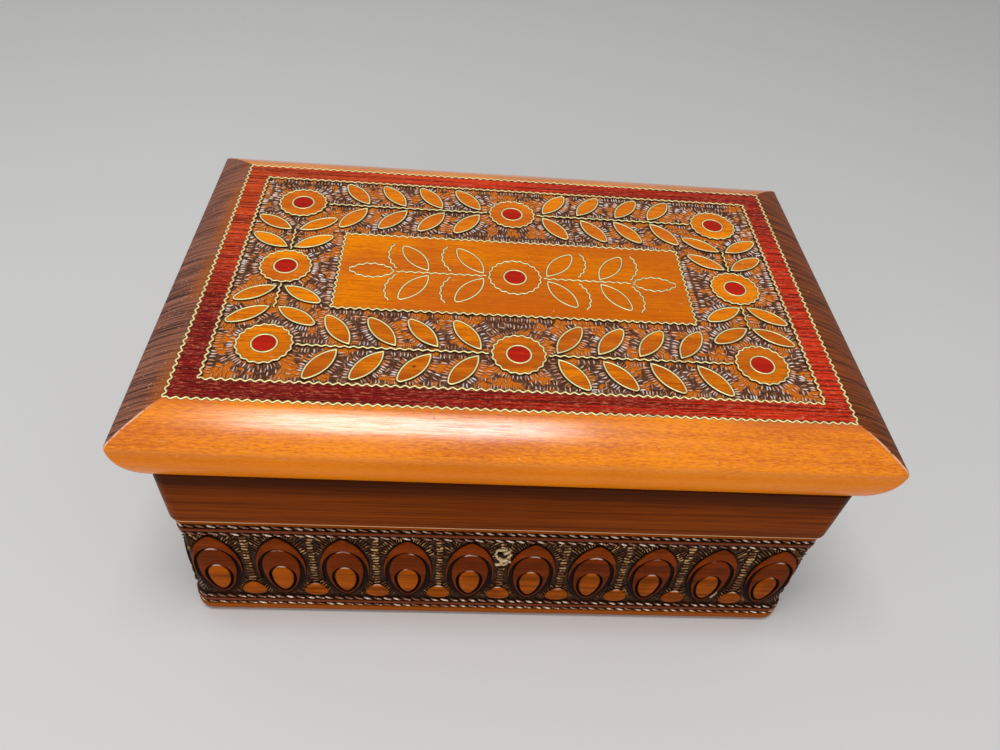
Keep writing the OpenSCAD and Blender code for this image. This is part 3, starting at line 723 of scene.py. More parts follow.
def lid_section():
    """The lid's edge as (distance out from the nose, z): belly, nose, crown and the flat top."""
    belly = Vector((-BELLY_R, NOSE_Z))
    slope = math.radians(CROWN_SLOPE)
    crown = Vector((-CROWN_IN - CROWN_R * math.sin(slope), LID_TOP - CROWN_R * math.cos(slope)))
    nose = circles_meet(belly, BELLY_R - NOSE_R, crown, CROWN_R - NOSE_R)
    if nose.x < crown.x:
        nose = circles_meet(crown, CROWN_R - NOSE_R, belly, BELLY_R - NOSE_R)
    from_belly = math.degrees(math.atan2(nose.y - belly.y, nose.x - belly.x))
    from_crown = math.degrees(math.atan2(nose.y - crown.y, nose.x - crown.x))
    foot = math.degrees(math.asin((LID_Z + 0.35 - NOSE_Z) / BELLY_R))
    foot_x = belly.x + BELLY_R * math.cos(math.radians(foot))
    section = [(foot_x - 0.5, LID_Z)]
    section += arc_points(belly.x, belly.y, BELLY_R, foot, from_belly, 8)
    section += arc_points(nose.x, nose.y, NOSE_R, from_belly, from_crown, 7)[1:]
    section += arc_points(crown.x, crown.y, CROWN_R, from_crown, 90 - CROWN_SLOPE, 12)[1:]
    section += [(OUTER_X - NOSE_X - 0.6, LID_TOP), (INNER_X - NOSE_X + 2, LID_TOP)]
    edge = INNER_X - NOSE_X - 0.15
    section += [(edge, LID_TOP), (edge - 0.1, LID_TOP - 0.15), (edge - 0.25, FIELD_Z)]
    return section


def frame_stations(along, aside, corner):
    """Places round a rectangle from the middle of its back: shares of its half sizes and normals."""
    stations = [(-step / along, 1.0, 0.0, 1.0) for step in range(along)]
    for quarter in range(4):
        start = 90 + 90 * quarter
        x, y = CORNERS[quarter]
        for step in range(corner + 1):
            turn = math.radians(start + 90 * step / corner)
            stations.append((x, y, math.cos(turn), math.sin(turn)))
        count = (aside, along * 2, aside, along)[quarter]
        next_x, next_y = ((-1, -1), (1, -1), (1, 1), (0, 1))[quarter]
        turn = math.radians(start + 90)
        for step in range(1, count):
            share = step / count
            stations.append((
                x + (next_x - x) * share, y + (next_y - y) * share, math.cos(turn), math.sin(turn)))
    return stations


def lid_board():
    """The moulded board, with its field let down and recesses for the hinges."""
    section = lid_section()
    stations = frame_stations(along=10, aside=12, corner=4)

    def place(side, storey):
        out, z = section[storey]
        share_x, share_y, normal_x, normal_y = stations[side]
        round_r = LID_CORNER_R if z < LID_TOP else FIELD_CORNER_R
        x = share_x * (NOSE_X + out - round_r) + normal_x * round_r
        y = share_y * (NOSE_Y + out - round_r) + normal_y * round_r
        return x, y, z

    piece = formed("lid_board_moulded", len(stations), len(section), place)
    cutters = []
    for node in ("lid_hinge_leaf_left", "lid_hinge_leaf_right"):
        low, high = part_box(node)
        middle = (low + high) / 2 / MM
        cutters.append(block((middle.x, RECESS_Y, RECESS_Z), RECESS_SIZE))
    for along, long in LID_CHIPS:
        cutters.append(block((along, CHIP_Y, CHIP_Z), (long, CHIP_D, CHIP_H), CHIP_TURNS))
    cut(piece, *cutters)
    return piece


def quarters(x, y, turn):
    """The same place and direction mirrored into the four quarters."""
    places = []
    for side_x in (1, -1):
        for side_y in (1, -1):
            way = math.atan2(side_y * math.sin(turn), side_x * math.cos(turn))
            places.append((side_x * x, side_y * y, way))
    return places


def leaf_places(rows, lean, length, swing, chance):
    """Middles and directions of leaves in all quarters, each a little off as handwork is."""
    places = []
    for x, y, side_x, side_y in rows:
        turn = math.atan2(side_y * math.sin(lean), side_x * math.cos(lean))
        x += length / 2 * math.cos(turn)
        y += length / 2 * math.sin(turn)
        for place_x, place_y, way in quarters(x, y, turn):
            places.append((
                place_x + chance.uniform(-swing, swing), place_y + chance.uniform(-swing, swing) / 3,
                way + chance.uniform(-1, 1) * swing * 0.07))
    return places


ROW_LEAF = (16.4, 6.31)
COLUMN_LEAF = (15.59, 5.77)
PANEL_LEAF = (17.2, 6.8)
HAND = random.Random(12)
ROW_LEAVES = leaf_places(
    [(base + 0.16, FLOWER_Y + side * (LEAF_OFF + 0.22), 1, side)
     for base in (13.025, 28.325, 43.625, 58.925) for side in (1, -1)],
    math.radians(54), ROW_LEAF[0], 0.7, HAND)
# The front row's outer leaves stand wider apart than its inner ones
ROW_LEAVES = [
    (x * (1.0 if y > 0 else 1.05 if y < -FLOWER_Y else 0.978), y, turn) for x, y, turn in ROW_LEAVES]
COLUMN_LEAVES = leaf_places(
    [(FLOWER_X + side * LEAF_OFF, base, side, 1) for base in (11.625, 23.195) for side in (1, -1)],
    math.radians(31), COLUMN_LEAF[0], 0.4, HAND)
PANEL_LEAVES = leaf_places(
    [(base, LEAF_OFF, 1, 1) for base in (12.425, 32.925)],
    math.radians(55), PANEL_LEAF[0], 0.35, HAND)
FLOWERS = [
    (x * FLOWER_X, y * FLOWER_Y) for x in (-1, 0, 1) for y in (-1, 0, 1) if x or y]


def at_turn(place, x, y, z):
    """Sets a vertex of a stamp with its foot-to-tip line on Y, its middle on the place."""
    middle_x, middle_y, turn = place
    return *rotated(y, -x, turn, middle_x, middle_y), z


def mirrored(place, x, y, z):
    return place[0] * x, place[1] * y, z


def moved(place, x, y, z):
    return place[0] + x, place[1] + y, z


def lid_islands():
    """What stands at the top's height in the field: leaves, flowers and the middle panel."""
    rise = ((0, -0.3), (0, FIELD_DROP - 0.16), (0.12, FIELD_DROP - 0.02), (0.7, FIELD_DROP))

    def turned_in_field(place, x, y, z):
        return at_turn(place, x, y, FIELD_Z + z)

    def moved_in_field(place, x, y, z):
        return moved(place, x, y, FIELD_Z + z)

    flower_size, panel_size = (2 * FLOWER_R, 2 * FLOWER_R), (2 * PANEL_X, 2 * PANEL_Y)
    islands = []
    for outline, size, foot, sides, places, put in (
            (leaf_line, ROW_LEAF, -ROW_LEAF[0] / 2, LEAF_SIDES, ROW_LEAVES, turned_in_field),
            (leaf_line, COLUMN_LEAF, -COLUMN_LEAF[0] / 2, LEAF_SIDES, COLUMN_LEAVES, turned_in_field),
            (circle_line, flower_size, 0, 48, FLOWERS, moved_in_field),
            (plate_line, panel_size, 0, len(CORNERS), [(0, 0)], moved_in_field)):
        island = spread(raised("island", outline, size, rise, foot, sides), places, put)
        close_up(island)
        islands.append(island)
    return islands


# Brass strips


def waved(points, normals, length, sizes, share_of_swing):
    """Swings a fine path to each side in whole waves."""
    pitch = sizes.crimp_pitch / MM
    swing = sizes.crimp_swing / MM * share_of_swing
    waves = max(round(length / pitch), 1)
    result = []
    for number, (point, normal) in enumerate(zip(points, normals)):
        share = number / (len(points) - 1)
        result.append(point + normal * swing * math.sin(math.tau * waves * share))
    return result


def wave_count(length, sizes):
    return max(round(length / (sizes.crimp_pitch / MM)), 1) * WAVE_STEPS + 1


def line_strip(start, end, sizes, share_of_swing=1.0):
    start, end = Vector(start), Vector(end)
    length = (end - start).length
    count = wave_count(length, sizes)
    way = (end - start) / length
    points = [start + (end - start) * number / (count - 1) for number in range(count)]
    normals = [Vector((-way.y, way.x))] * count
    return ribbon(waved(points, normals, length, sizes, share_of_swing), False)


def arc_strip(middle, radius, start, end, sizes, crimped=True):
    """A strip along an arc, in degrees; a full turn closes on itself."""
    length = radius * math.radians(end - start)
    count = wave_count(length, sizes) if crimped else PLAIN_ARC_STEPS + 1
    ways = []
    for number in range(count):
        turn = math.radians(start + (end - start) * number / (count - 1))
        ways.append(Vector((math.cos(turn), math.sin(turn))))
    points = [Vector(middle) + radius * way for way in ways]
    if crimped:
        points = waved(points, ways, length, sizes, ARC_SWING)
    return ribbon(points, end - start >= 360)


def leaf_strip(size):
    """A plain strip bent round a leaf, with its middle on the origin and its tip along Y."""
    points = []
    for side in range(LEAF_SIDES + 1):
        x, y = leaf_line(*size, 0, side % LEAF_SIDES, LEAF_SIDES)
        points.append(Vector((x, y - size[0] / 2)))
    return ribbon(points, True)


def ribbon(points, closed):
    """A strip on edge along points, in a dark seat that shows as a thin line beside it, partly dark filler
    and partly a painted shadow.
    """
    strip = thick_ribbon(points, closed, STRIP_LOW, STRIP_TOP, STRIP_T)
    modify(
        strip, "BEVEL", limit_method="ANGLE", angle_limit=math.radians(60),
        width=STRIP_EASE * MM, segments=1)
    seat = thick_ribbon(points, closed, SEAT_LOW, SEAT_TOP, STRIP_T + 2 * SEAT_SHOWS)
    return join("strip", strip, seat)


def thick_ribbon(points, closed, low, top, thickness):
    count = len(points)
    deselect_all()
    bpy.ops.mesh.primitive_grid_add(x_subdivisions=count - 1, y_subdivisions=1, size=2)
    piece = bpy.context.object
    for vertex in piece.data.vertices:
        x, y = points[vertex.index % count]
        vertex.co = Vector((x, y, low if vertex.index < count else top)) * MM
    if closed:
        close_up(piece)
    modify(piece, "SOLIDIFY", thickness=thickness * MM, offset=0, use_even_offset=True)
    return piece


MIRRORS = [(1, 1), (-1, 1), (1, -1), (-1, -1)]
ENDS = [(1, 1), (-1, 1)]


def border(half_x, half_y, sizes):
    """Four strips round a rectangle, met at its corners."""
    corners = [(-half_x, -half_y), (half_x, -half_y), (half_x, half_y), (-half_x, half_y)]
    return [line_strip(corners[number], corners[(number + 1) % 4], sizes) for number in range(4)]


def buds(sizes):
    """Two arcs that meet in a pointed bud at each end of the panel."""
    length = BUD_HIGH - BUD_LOW
    radius = (length ** 2 + BUD_W ** 2) / (4 * BUD_W)
    half_turn = math.degrees(math.asin((length / 2 - BUD_GAP) / radius))
    middle = ((BUD_LOW + BUD_HIGH) / 2, BUD_W / 2 - radius)
    arc = arc_strip(middle, radius, 90 - half_turn, 90 + half_turn, sizes)
    return spread(arc, MIRRORS, mirrored)


def inlay_strips(sizes):
    """The strips that stand for each node of the solids."""
    middle = (0, 0)

    def stem(start, end, places):
        return [spread(line_strip(start, end, sizes, STEM_SWING), places, mirrored)]

    def leaves(size, places):
        return [spread(leaf_strip(size), places, at_turn)]

    def ring(radius, crimped=True):
        return arc_strip(middle, radius, 0, 360, sizes, crimped)

    def tendril(centre):
        return spread(arc_strip(centre, TENDRIL_R, *TENDRIL_TURNS, sizes), MIRRORS, mirrored)

    return {
        "outer_border_wire": border(OUTER_X, OUTER_Y, sizes),
        "inner_border_wire": border(INNER_X, INNER_Y, sizes),
        "panel_border_wire": border(PANEL_X, PANEL_Y, sizes),
        "row_stem_wires": stem((STEM_START, FLOWER_Y), (ROW_STEM_END, FLOWER_Y), MIRRORS),
        "row_leaf_wires": leaves(ROW_LEAF, ROW_LEAVES),
        "column_stem_wires": stem((FLOWER_X, STEM_START), (FLOWER_X, COLUMN_STEM_END), MIRRORS),
        "column_leaf_wires": leaves(COLUMN_LEAF, COLUMN_LEAVES),
        "flower_ring_wires": [spread(ring(FLOWER_R), FLOWERS, moved), ring(ROSE_R)],
        "flower_eye_wires": [spread(ring(EYE_R, False), FLOWERS + [middle], moved)],
        "panel_stem_wires": stem((PANEL_STEM[0], 0), (PANEL_STEM[1], 0), ENDS),
        "panel_leaf_wires": leaves(PANEL_LEAF, PANEL_LEAVES),
        "panel_tendril_wires": [tendril(centre) for centre in TENDRIL_CENTRES],
        "panel_bud_wires": [buds(sizes)],
    }


# Punched field


def near_leaves():
    """Leaves of the field by the cells that they may touch."""
    cells = {}
    for places, size in ((ROW_LEAVES, ROW_LEAF), (COLUMN_LEAVES, COLUMN_LEAF)):
        radius = (size[0] ** 2 + size[1] ** 2) / (4 * size[1])
        for x, y, turn in places:
            leaf = (x, y, math.cos(turn), math.sin(turn), radius, radius - size[1] / 2)
            for step_x in range(-2, 3):
                for step_y in range(-2, 3):
                    cell = (int(x // LEAF_CELL) + step_x, int(y // LEAF_CELL) + step_y)
                    cells.setdefault(cell, []).append(leaf)
    return cells


def clearance(x, y, leaves):
    """How far a point of the field is from the nearest outline."""
    across, deep = abs(x), abs(y)
    near = min(INNER_X - across, INNER_Y - deep)
    near = min(near, math.hypot(max(across - PANEL_X, 0), max(deep - PANEL_Y, 0)))
    for flower_x, flower_y in ((0, FLOWER_Y), (FLOWER_X, 0), (FLOWER_X, FLOWER_Y)):
        near = min(near, math.hypot(across - flower_x, deep - flower_y) - FLOWER_R)
    if ROW_STEM_SPAN[0] < across < ROW_STEM_SPAN[1]:
        near = min(near, abs(deep - FLOWER_Y) - STEM_HALF)
    if COLUMN_STEM_SPAN[0] < deep < COLUMN_STEM_SPAN[1]:
        near = min(near, abs(across - FLOWER_X) - STEM_HALF)
    cell = (int(x // LEAF_CELL), int(y // LEAF_CELL))
    for leaf_x, leaf_y, cosine, sine, radius, middle in leaves.get(cell, ()):
        off_x, off_y = x - leaf_x, y - leaf_y
        along = off_x * cosine + off_y * sine
        aside = abs(off_y * cosine - off_x * sine)
        near = min(near, math.hypot(along, aside + middle) - radius)
    return near


def crescent_stamp():
    """One punched mark a millimetre long and wide: a bent ridge, thick at one end."""
    rings = ((-0.5, 0.35, 0.45), (-0.22, 1.0, 1.0), (0.14, 0.9, 0.92), (0.5, 0.25, 0.3))
    corners = (0, -0.5, 0.5)

    def place(side, storey):
        along, wide, high = rings[storey]
        across = corners[side] * wide
        return along, across + 0.9 * along ** 2, -0.3 if side else high

    return formed("crescent", len(corners), len(rings), place)


def punched_marks(sizes):
    """Marks in rows that follow the outlines: x, y, angle, length, width and hand."""
    chance = random.Random(7)
    leaves = near_leaves()
    pitch = sizes.punch_pitch / MM
    long = sizes.punch_length / MM
    row_step = long + ROW_GAP
    cells = {}
    marks = []

    def blocked(x, y, slope, cell):
        for step_x in (-1, 0, 1):
            for step_y in (-1, 0, 1):
                for other_x, other_y in cells.get((cell[0] + step_x, cell[1] + step_y), ()):
                    apart = Vector((x - other_x, y - other_y))
                    along = apart.dot(slope) / (row_step * 0.9)
                    across = apart.cross(slope) / pitch
                    if along ** 2 + across ** 2 < 1:
                        return True
        return False

    for _ in range(sizes.punch_tries):
        x = chance.uniform(-INNER_X, INNER_X)
        y = chance.uniform(-INNER_Y, INNER_Y)
        if abs(x) < PANEL_X and abs(y) < PANEL_Y:
            continue
        near = clearance(x, y, leaves)
        if near < EDGE_GAP:
            continue
        slope = Vector((
            clearance(x + SLOPE_STEP, y, leaves) - near, clearance(x, y + SLOPE_STEP, leaves) - near))
        if slope.length < LEAST_SLOPE:
            continue
        slope.normalize()
        row = max(round((near - long / 2 - FIELD_MARGIN) / row_step), 0)
        shift = row * row_step + long / 2 + FIELD_MARGIN - near
        x, y = x + slope.x * shift, y + slope.y * shift
        room = clearance(x, y, leaves)
        if room < LEAST_ROOM:
            continue
        size = long * chance.uniform(0.85, 1.1)
        if room < size / 2 + EDGE_GAP:
            size = 2 * (room - EDGE_GAP)
        cell = (int(x // MARK_CELL), int(y // MARK_CELL))
        if blocked(x, y, slope, cell):
            continue
        cells.setdefault(cell, []).append((x, y))
        angle = math.atan2(slope.y, slope.x) + chance.uniform(-0.12, 0.12)
        marks.append((x, y, angle, size, chance.uniform(1.0, 1.3), chance.choice((1, -1))))
    return marks


# Finishes


class Reading:
    """A socket of a finish, reckoned with like a number."""

    def __init__(self, finish, socket):
        self.finish = finish
        self.socket = socket

    def __add__(self, other):
        return self.finish.maths("ADD", self, other)

    __radd__ = __add__

    def __sub__(self, other):
        return self.finish.maths("SUBTRACT", self, other)

    def __rsub__(self, other):
        return self.finish.maths("SUBTRACT", other, self)

    def __mul__(self, other):
        return self.finish.maths("MULTIPLY", self, other)

    __rmul__ = __mul__

    def __abs__(self):
        return self.finish.maths("ABSOLUTE", self)


class Finish:
    """The material of one finish, with its place read in millimetres."""

    def __init__(self, name):
        self.material = bpy.data.materials.new(name)
        self.material.use_nodes = True
        self.tree = self.material.node_tree
        self.tree.nodes.clear()
        self.shader = self.node("ShaderNodeBsdfPrincipled")
        output = self.node("ShaderNodeOutputMaterial")
        self.tree.links.new(self.shader.outputs[0], output.inputs[0])
        place = self.node("ShaderNodeTexCoord").outputs["Object"]
        scaled = self.node("ShaderNodeVectorMath", {"operation": "SCALE"}, {0: place, "Scale": 1 / MM})
        self.place = scaled.outputs[0]
        split = self.node("ShaderNodeSeparateXYZ", {}, {0: self.place})
        self.x, self.y, self.z = [Reading(self, socket) for socket in split.outputs]

    def node(self, kind, settings=None, sockets=None):
        """Adds a node with its settings first, and then the values or links of its sockets."""
        made = self.tree.nodes.new(kind)
        for key, value in (settings or {}).items():
            setattr(made, key, value)
        for key, value in (sockets or {}).items():
            self.feed(made.inputs[key], value)
        return made

    def feed(self, socket, value):
        """Links a reading or a socket to a socket, or sets it to a number or a colour."""
        if isinstance(value, Reading):
            value = value.socket
        if isinstance(value, bpy.types.NodeSocket):
            self.tree.links.new(value, socket)
        elif socket.type == "RGBA":
            socket.default_value = (*value, 1.0)
        else:
            socket.default_value = value

    def maths(self, operation, *values):
        made = self.node("ShaderNodeMath", {"operation": operation}, dict(enumerate(values)))
        return Reading(self, made.outputs[0])

    def least(self, first, second):
        return self.maths("MINIMUM", first, second)

    def most(self, first, second):
        return self.maths("MAXIMUM", first, second)

    def length(self, x, y):
        return self.maths("SQRT", x * x + y * y)

    def rise(self, value, low, high):
        """0 below low and 1 above high, softly between; low above high turns it round."""
        falling = float(low > high)
        made = self.node("ShaderNodeMapRange", {"interpolation_type": "SMOOTHSTEP", "clamp": True}, {
            "Value": value, "From Min": min(low, high), "From Max": max(low, high),
            "To Min": falling, "To Max": 1 - falling})
        return Reading(self, made.outputs["Result"])

    def mix(self, share, first, second):
        made = self.node("ShaderNodeMix", {"data_type": "RGBA"}, {0: share, 6: first, 7: second})
        return made.outputs[2]

    def stretched(self, x, y, z):
        """The place in millimetres, squeezed along each axis."""
        made = self.node("ShaderNodeVectorMath", {"operation": "MULTIPLY"}, {0: self.place, 1: (x, y, z)})
        return made.outputs[0]

    def noise(self, vector, scale=1.0, detail=3.0, roughness=0.5, distortion=0.0):
        made = self.node("ShaderNodeTexNoise", {"noise_dimensions": "3D"}, {
            "Vector": vector, "Scale": scale, "Detail": detail, "Roughness": roughness,
            "Distortion": distortion})
        return Reading(self, made.outputs["Fac"])

    def cells(self, vector, scale):
        """Distance from the middles of random cells."""
        made = self.node("ShaderNodeTexVoronoi", {}, {"Vector": vector, "Scale": scale})
        return Reading(self, made.outputs["Distance"])

    def cell_value(self, vector, scale):
        """A random value for each cell."""
        made = self.node("ShaderNodeTexVoronoi", {}, {"Vector": vector, "Scale": scale})
        split = self.node("ShaderNodeSeparateXYZ", {}, {0: made.outputs["Color"]})
        return Reading(self, split.outputs[0])

    def bump(self, height, strength, distance):
        """The normal over a height, with the distance in millimetres."""
        made = self.node("ShaderNodeBump", {}, {
            "Height": height, "Strength": strength, "Distance": distance * MM})
        return made.outputs[0]

    def finish(self, colour, roughness, normal=None, **others):
        """Feeds the shader's sockets and gives the material."""
        others.update(Base_Color=colour, Roughness=roughness)
        if normal:
            others["Normal"] = normal
        for key, value in others.items():
            self.feed(self.shader.inputs[key.replace("_", " ")], value)
        return self.material


def fibres(finish, along):
    """Long and fine fibres of wood that runs along X or Y: 0 is pale and 1 is dark."""
    if along == "X":
        long = finish.stretched(0.018, 1.0, 1.0)
        fine = finish.stretched(0.06, 3.2, 3.2)
    else:
        long = finish.stretched(1.0, 0.018, 1.0)
        fine = finish.stretched(3.2, 0.06, 3.2)
    broad = finish.noise(long, 0.32, 4.0, 0.6, 0.4)
    thin = finish.noise(fine, 0.8, 3.0, 0.7)
    return finish.rise(broad * 0.6 + thin * 0.4, 0.3, 0.7), thin


def lid_finish(colours):
    """The varnished lid: honey crown, red band, punched field, honey leaves and panel, end grain, with
    painted light on the belly, the lower edge and the left end.
    """
    lid = Finish("lid_wood_inlaid")
    dark, _ = fibres(lid, "X")
    blotch = lid.noise(lid.stretched(0.02, 0.04, 0.04), 1.0, 2.0)
    dash = lid.noise(lid.stretched(0.45, 2.4, 2.4), 1.0, 4.0, 0.7)
    crumb = lid.noise(lid.place, 0.7, 4.0, 0.7)
    across, deep = abs(lid.x), abs(lid.y)
    front = lid.rise(lid.y, 10.0, -60.0)
    right = lid.rise(lid.x, -40.0, 60.0)

    honey_shade = lid.rise(dash * 0.8 + blotch * 0.4 + dark * 0.16, 0.52, 0.88)
    honey = lid.mix(honey_shade, colours.honey, colours.amber)
    by_wire = lid.rise(deep, OUTER_Y + 5.5, OUTER_Y + 1.0) * lid.rise(blotch, 0.35, 0.6)
    honey = lid.mix(by_wire * 0.45, honey, tint(190, 88, 30))
    leaf = lid.mix(lid.rise(dash * 0.7 + dark * 0.4, 0.5, 0.8) * 0.6, honey, tint(176, 76, 4))
    leaf = lid.mix(front * lid.rise(blotch + dark * 0.3, 0.3, 0.8) * 0.7, leaf, tint(150, 66, 6))
    fibre = lid.rise(lid.noise(lid.stretched(0.07, 2.6, 2.6), 1.0, 3.0, 0.65), 0.46, 0.62)
    panel_shade = 0.05 + lid.rise(lid.x, -60.0, 30.0) * 0.4 + lid.rise(lid.y, -8.0, -24.0) * 0.3
    panel = lid.mix(panel_shade, honey, colours.amber)
    panel = lid.mix(fibre * 0.5, panel, tint(168, 72, 0))

    near_left = lid.rise(abs(lid.x + OUTER_X) + abs(lid.y + OUTER_Y), 130.0, 20.0)
    back_right = lid.rise(abs(lid.x - OUTER_X) + abs(lid.y - OUTER_Y), 90.0, 10.0)
    back_left = lid.rise(abs(lid.x + OUTER_X) + abs(lid.y - OUTER_Y), 130.0, 20.0)
    front_middle = front * (1 - lid.rise(lid.x, 30.0, 100.0)) * 0.45
    red_shade = lid.rise(dark * 0.45 + near_left * 0.6 + back_right * 0.5 + front_middle, 0.2, 1.1)
    red = lid.mix(back_left * 0.6, colours.red_band, tint(206, 82, 26))
    red = lid.mix(red_shade, red, colours.red_dark)
    streak = lid.rise(lid.noise(lid.stretched(0.02, 1.9, 1.9), 1.0, 2.0, 0.6), 0.45, 0.57)
    red = lid.mix(streak * 0.8, red, tint(66, 10, 8))
    red = lid.mix(lid.rise(dash, 0.52, 0.64) * 0.55, red, tint(218, 116, 84))

    fleck = lid.rise(lid.noise(lid.place, 0.17, 2.0, 0.5), 0.51, 0.57)
    punched = lid.mix(lid.rise(crumb, 0.45, 0.75), colours.punched, tint(142, 104, 84))
    punched = lid.mix(fleck * 0.85, punched, tint(204, 108, 14))

    line = lid.noise(lid.stretched(0.04, 2.1, 0.04), 1.0, 2.0, 0.55, 0.1)
    end_line = lid.rise(line, 0.4, 0.62)
    # Painted sheen: the left end's dark end grain is given a greyish tone, which the right end does not get
    left_end_with_sheen = lid.mix(end_line, tint(146, 92, 70), tint(66, 38, 32))
    near_wire = lid.rise(across, OUTER_X + 8.0, OUTER_X + 0.5) * lid.rise(blotch, 0.3, 0.55)
    left_end_with_sheen = lid.mix(near_wire * 0.75, left_end_with_sheen, tint(158, 82, 24))
    speck = lid.rise(lid.cells(lid.stretched(1.0, 1.6, 1.0), 0.7), 0.26, 0.08) * lid.rise(crumb, 0.42, 0.66)
    left_end_with_sheen = lid.mix(speck * 0.8, left_end_with_sheen, tint(226, 196, 180))
    right_end = lid.mix(end_line, tint(136, 64, 16), tint(60, 27, 8))
    ends = lid.mix(right, left_end_with_sheen, right_end)

    to_x = lid.least(across, abs(across - FLOWER_X))
    to_y = lid.least(deep, abs(deep - FLOWER_Y))
    from_flower = lid.length(to_x, to_y)
    eye = lid.rise(from_flower, EYE_R - 0.1, EYE_R - 0.35)

    outer = lid.rise(lid.least(OUTER_X - across, OUTER_Y - deep), -0.1, 0.1)
    inner = lid.rise(lid.least(INNER_X - across, INNER_Y - deep), -0.1, 0.1)
    high = lid.rise(lid.z, LEAF_Z - 0.05, LEAF_Z + 0.05)
    on_panel = lid.rise(lid.least(PANEL_X - across, PANEL_Y - deep), -0.1, 0.1)
    field = inner * (1 - high)

    past_mitre = across - deep - (OUTER_X - OUTER_Y)
    end_face = lid.rise(past_mitre, -0.3, 0.3) * (1 - outer)
    worn = lid.rise(crumb, 0.35, 0.5) * lid.rise(across, OUTER_X + 1.0, OUTER_X + 6.0)
    arris = lid.rise(abs(past_mitre), 0.8, 0.25) * (1 - outer) * worn * front

    colour = lid.mix(end_face, honey, ends)
    colour = lid.mix(arris * 0.8, colour, tint(226, 176, 150))
    colour = lid.mix(outer, colour, red)
    colour = lid.mix(inner, colour, leaf)
    colour = lid.mix(on_panel, colour, panel)
    colour = lid.mix(field, colour, punched)
    red_eye = lid.mix(dark * 0.7, colours.flower_red, tint(110, 16, 12))
    colour = lid.mix(eye * inner, colour, red_eye)

    pits = lid.rise(lid.cells(lid.place, 0.13), 0.05, 0.03) * (1 - field)
    dents = lid.rise(lid.cells(lid.stretched(0.05, 0.3, 0.3), 1.0), 0.07, 0.02) * (1 - field)
    colour = lid.mix(lid.most(pits * 0.5, dents * 0.3), colour, tint(236, 196, 160))
    # The pale line along the lid's lower edge is partly wear and partly a painted highlight on the edge
    outside = lid.rise(lid.most(across - 120.0, deep - 75.5), 0.0, 0.3)
    worn_edge_and_highlight = lid.rise(lid.z, LID_Z + 1.2, LID_Z + 0.5) * outside
    colour = lid.mix(worn_edge_and_highlight * 0.75, colour, tint(240, 176, 90))
    chipped = worn_edge_and_highlight * lid.rise(crumb, 0.56, 0.62)
    for along, long in LID_CHIPS:
        chip = lid.rise(abs(lid.x - along), long / 2 + 0.2, long / 2)
        chip = chip * lid.rise(lid.z, LID_Z + 1.1, LID_Z + 0.7)
        chipped = lid.most(chipped, chip * lid.rise(lid.y, -75.5, -76.0))
    colour = lid.mix(chipped * 0.85, colour, colours.torn_wood)
    for spot_x, spot_y, spot_r in DARK_SPOTS:
        spot = lid.rise(lid.length(lid.x - spot_x, lid.y - spot_y), spot_r, spot_r * 0.4)
        colour = lid.mix(spot * 0.8, colour, tint(40, 20, 16))
    inside = lid.rise(lid.z, LID_Z + 0.15, LID_Z + 0.05)
    bare = lid.mix(dark, colours.raw_wood, colours.raw_dark)
    colour = lid.mix(inside, colour, bare)

    # Painted light: the belly under the nose is pushed to a bright orange, standing in for light that its
    # downward face does not get
    belly = lid.rise(lid.z, NOSE_Z + 2.0, NOSE_Z - 4.0) * (1 - end_face)
    colour = lid.mix(belly * 0.55 * (1 - inside) * (1 - worn_edge_and_highlight), colour, tint(244, 132, 0))
    rough = 0.2 + dark * 0.05 + field * 0.25 + end_face * 0.16 + inside * 0.3
    silk = lid.rise(lid.noise(lid.stretched(0.1, 3.4, 3.4), 1.0, 3.0, 0.6), 0.36, 0.58)
    gloss = (1 - belly * 0.9) * (1 - field) * (1 - inside) * (1 - end_face * 0.8) * (1 - outer * 0.9)
    gloss = gloss * (0.45 + silk * 0.55)
    bumps = dash * 0.5 + crumb * field * 2.0 + line * end_face - pits * 2.0 - dents * 3.0
    normal = lid.bump(bumps, 0.3, 0.1)
    return lid.finish(
        colour, rough, normal, Specular_IOR_Level=0.02, Coat_Weight=gloss, Coat_Roughness=0.2, Coat_IOR=1.65)


def punch_finish(colours):
    """The punched marks: pale tops that are partly a painted sheen, dark low sides that are partly painted
    shade, painted whitish glints and orange flecks.
    """
    marks = Finish("punched_wood")
    mottle = marks.cell_value(marks.place, 0.5)
    fleck = marks.rise(marks.noise(marks.place, 0.17, 2.0, 0.5), 0.51, 0.57)
    height = marks.rise(marks.z, FIELD_Z + 0.08, FIELD_Z + 0.42)
    # Low down each mark is dark, partly its dark ground and partly painted shade; high up it is pale, partly
    # a painted sheen
    low = tint(56, 32, 20)
    top = marks.mix(marks.rise(mottle, 0.1, 0.75), tint(186, 122, 84), colours.punched_light)
    # Painted highlight: whitish glints on some of the tops
    top = marks.mix(marks.rise(mottle, 0.72, 0.82) * 0.8, top, tint(226, 224, 228))
    colour = marks.mix(height, low, top)
    colour = marks.mix(fleck * height * 0.8, colour, tint(226, 128, 20))
    normal = marks.bump(marks.noise(marks.place, 1.8, 3.0), 0.3, 0.1)
    return marks.finish(colour, 0.26 + mottle * 0.2, normal)


